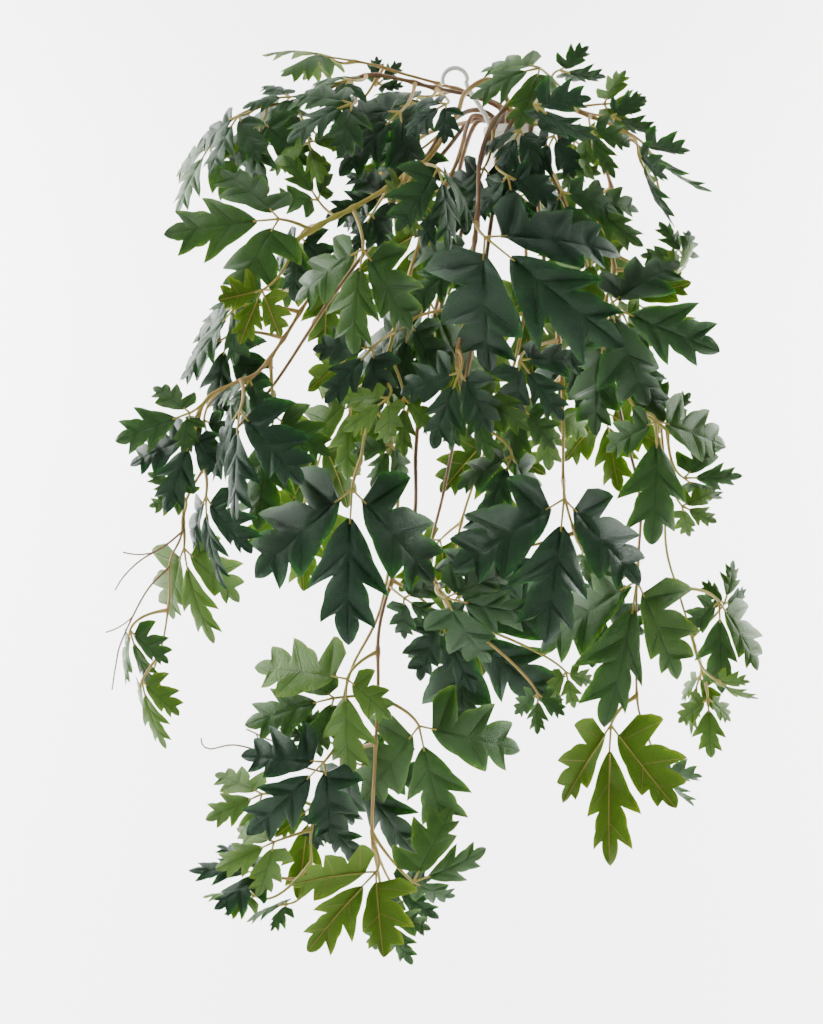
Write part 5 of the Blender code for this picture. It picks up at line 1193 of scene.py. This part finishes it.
def hookPiece(name, material):
    # Wire along arcs and straight stretches: under the pot's lip, up past the rim, round a crook.
    side, legX, crookTop = hookSize["legs"][name]
    away = Vector((math.cos(hookSize["turn"]), math.sin(hookSize["turn"]), 0)) * side
    bend = gap + hookSize["wire"]
    low = potSize["rim"] - potSize["lip"] - bend
    out = potSize["lipR"] + bend
    path = [away * (potSize["topR"] + gap + hookSize["rest"]) + Vector((0, 0, low))]
    for a in np.linspace(0, math.pi / 2, hookSize["lipSteps"] + 1):
        rise = Vector((0, 0, low + bend * (1 - math.cos(a))))
        path.append(away * (potSize["lipR"] + bend * math.sin(a)) + rise)
    leg = Vector((legX, away.y * out, crookTop - hookSize["arc"]))
    straight = [away * out + Vector((0, 0, potSize["rim"] + hookSize["rise"])),
                leg - Vector((0, 0, hookSize["top"])), leg]
    path += smoothPath([path[-1]] + straight, 4)[1:]
    for a in np.linspace(0, hookSize["crook"], hookSize["crookSteps"] + 1)[1:]:
        path.append(leg + Vector((side * (1 - math.cos(a)), 0, math.sin(a))) * hookSize["arc"])
    radii = np.full(len(path), hookSize["wire"])
    radii[0] = radii[-1] = hookSize["wire"] * hookSize["tip"]
    verts, tris, spot, shade = roundBar(path, radii, hookSize["sides"], np.zeros(len(path)), 0)
    return surface(name, verts, tris, np.zeros(len(tris)), spot, shade, [material])


fillShape = {
    "lump": 0.9, "calm": 3.0, "spare": 0.2,    # mm: height of the lumps, width without them, play at the wall
    "lower": 0.6, "rows": 22, "sides": 72,
    "waves": ((1.9, 0.7, 0, 1.0), (-1.1, 1.3, 1, 1.0), (3.1, 2.3, 2, 0.6)),  # turns along x, y; start; height
}


def innerRadius(z):
    # Radius of the pot's inside at height z.
    foot = potSize["rim"] - potSize["height"] + potSize["wall"]
    return potSize["footR"] - potSize["wall"] + (potSize["topR"] - potSize["footR"]) * (z - foot) / (
        potSize["rim"] - foot)


def fillPiece(material):
    # Plug of potting fibre: a turned side and a top whose height is a sum of small waves, calm near the wall.
    rim, foot = potSize["rim"], potSize["rim"] - potSize["height"]
    low, top = foot + potSize["wall"] + gap, rim - potSize["fillDrop"]
    wide = [innerRadius(z) - gap - fillShape["spare"] for z in (low, top)]
    radius = np.r_[0, wide[0], np.linspace(wide[1], 0, fillShape["rows"])]
    height = np.r_[low, low, np.full(fillShape["rows"], top)]
    a = circle(fillShape["sides"])
    x, y = radius[:, None] * np.cos(a), radius[:, None] * np.sin(a)
    z = height[:, None] + 0 * a
    rough = sum(high * np.sin(p * x + q * y + start) for p, q, start, high in fillShape["waves"])
    rough /= sum(wave[3] for wave in fillShape["waves"])
    calm = np.clip((wide[1] - np.hypot(x, y)) / fillShape["calm"], 0, 1)
    z[2:] += (fillShape["lump"] * (rough - fillShape["lower"]) * calm)[2:]
    return ringed("fillPlug", x, y, z, material)


whitePlastic = plasticMaterial("potPlastic", paint(236, 234, 226), 0.35, 2500.0)
whiteCoat = plasticMaterial("hookCoat", paint(240, 240, 236), 0.22, 1200.0)
for piece, cadNode in ((potPiece(whitePlastic), "pot"), (hookPiece("hookLeft", whiteCoat), "hook_left"),
                       (hookPiece("hookRight", whiteCoat), "hook_right"),
                       (fillPiece(fibreMaterial("pottingFibre")), "filler")):
    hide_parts(cadNode)
    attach(piece, "root")
print("pot, hooks and filler built")

studio = {            # m and W; lights: power, size, place and what it is turned to
    "backdrop": paint(243, 243, 243), "floorZ": -1.42, "wallY": 2.4, "sweep": 1.1, "wide": 5.0, "world": 0.15,
    "pictureTall": 1.024,     # at the pot's axis
    "lights": {
        "keyLight": (60.0, 1.0, (-1.9, -1.7, 1.5), (-0.1, 0, -0.4)),
        "fillLight": (5.0, 2.0, (2.0, -2.0, 0.4), (-0.1, 0, -0.4)),
        "topLight": (26.0, 1.6, (0.0, 0.3, 1.8), (-0.1, 0, -0.4)),
        "wallLightLeft": (330.0, 1.4, (-2.3, 0.9, 0.3), (-0.5, 2.4, -0.5)),
        "wallLightRight": (330.0, 1.4, (2.3, 0.9, 0.3), (0.5, 2.4, -0.5)),
    },
}


def backdrop():
    # Floor that sweeps up into a wall: a profile of floor, quarter circle and wall, drawn out sideways.
    r = studio["sweep"]
    a = np.linspace(0, math.pi / 2, 24)
    y = np.r_[-4.0, studio["wallY"] - r + r * np.sin(a), studio["wallY"]]
    z = np.r_[studio["floorZ"], studio["floorZ"] + r * (1 - np.cos(a)), 4.0]
    x = np.array([-studio["wide"], studio["wide"]])
    verts = np.stack((np.repeat(x, len(y)), np.tile(y, 2), np.tile(z, 2)), 1)
    grid = np.arange(len(verts)).reshape(2, -1)
    look, tree, shader = newLook("paperSweep")
    link(tree, shader, {"Base Color": studio["backdrop"], "Roughness": 0.9})
    tris = quads(grid, True)
    spare = np.zeros((len(verts), 3))
    return surface("sweep", verts * 1000, tris, np.zeros(len(tris)), spare, spare, [look])


def softLight(name, power, size, where, aim):
    # Square lamp turned to a point.
    lamp = bpy.data.lights.new(name, "AREA")
    lamp.energy, lamp.size = power, size
    item = bpy.data.objects.new(name, lamp)
    item.location = where
    item.rotation_euler = (Vector(aim) - Vector(where)).to_track_quat("-Z", "Y").to_euler()
    bpy.context.scene.collection.objects.link(item)


backdrop()
for name, light in studio["lights"].items():
    softLight(name, *light)
world = bpy.data.worlds.new("studioAir")
world.use_nodes = True
world.node_tree.nodes["Background"].inputs[0].default_value = (1, 1, 1, 1)
world.node_tree.nodes["Background"].inputs[1].default_value = studio["world"]
bpy.context.scene.world = world

lens = bpy.data.cameras.new("camera")
lens.sensor_width = 36
lens.lens = lens.sensor_width * -drawing["eye"].y * 0.001 / studio["pictureTall"]
camera = bpy.data.objects.new("camera", lens)
camera.location = drawing["eye"] * 0.001
camera.rotation_euler = (math.pi / 2, 0, 0)
bpy.context.scene.collection.objects.link(camera)
bpy.context.scene.camera = camera
print("studio set")
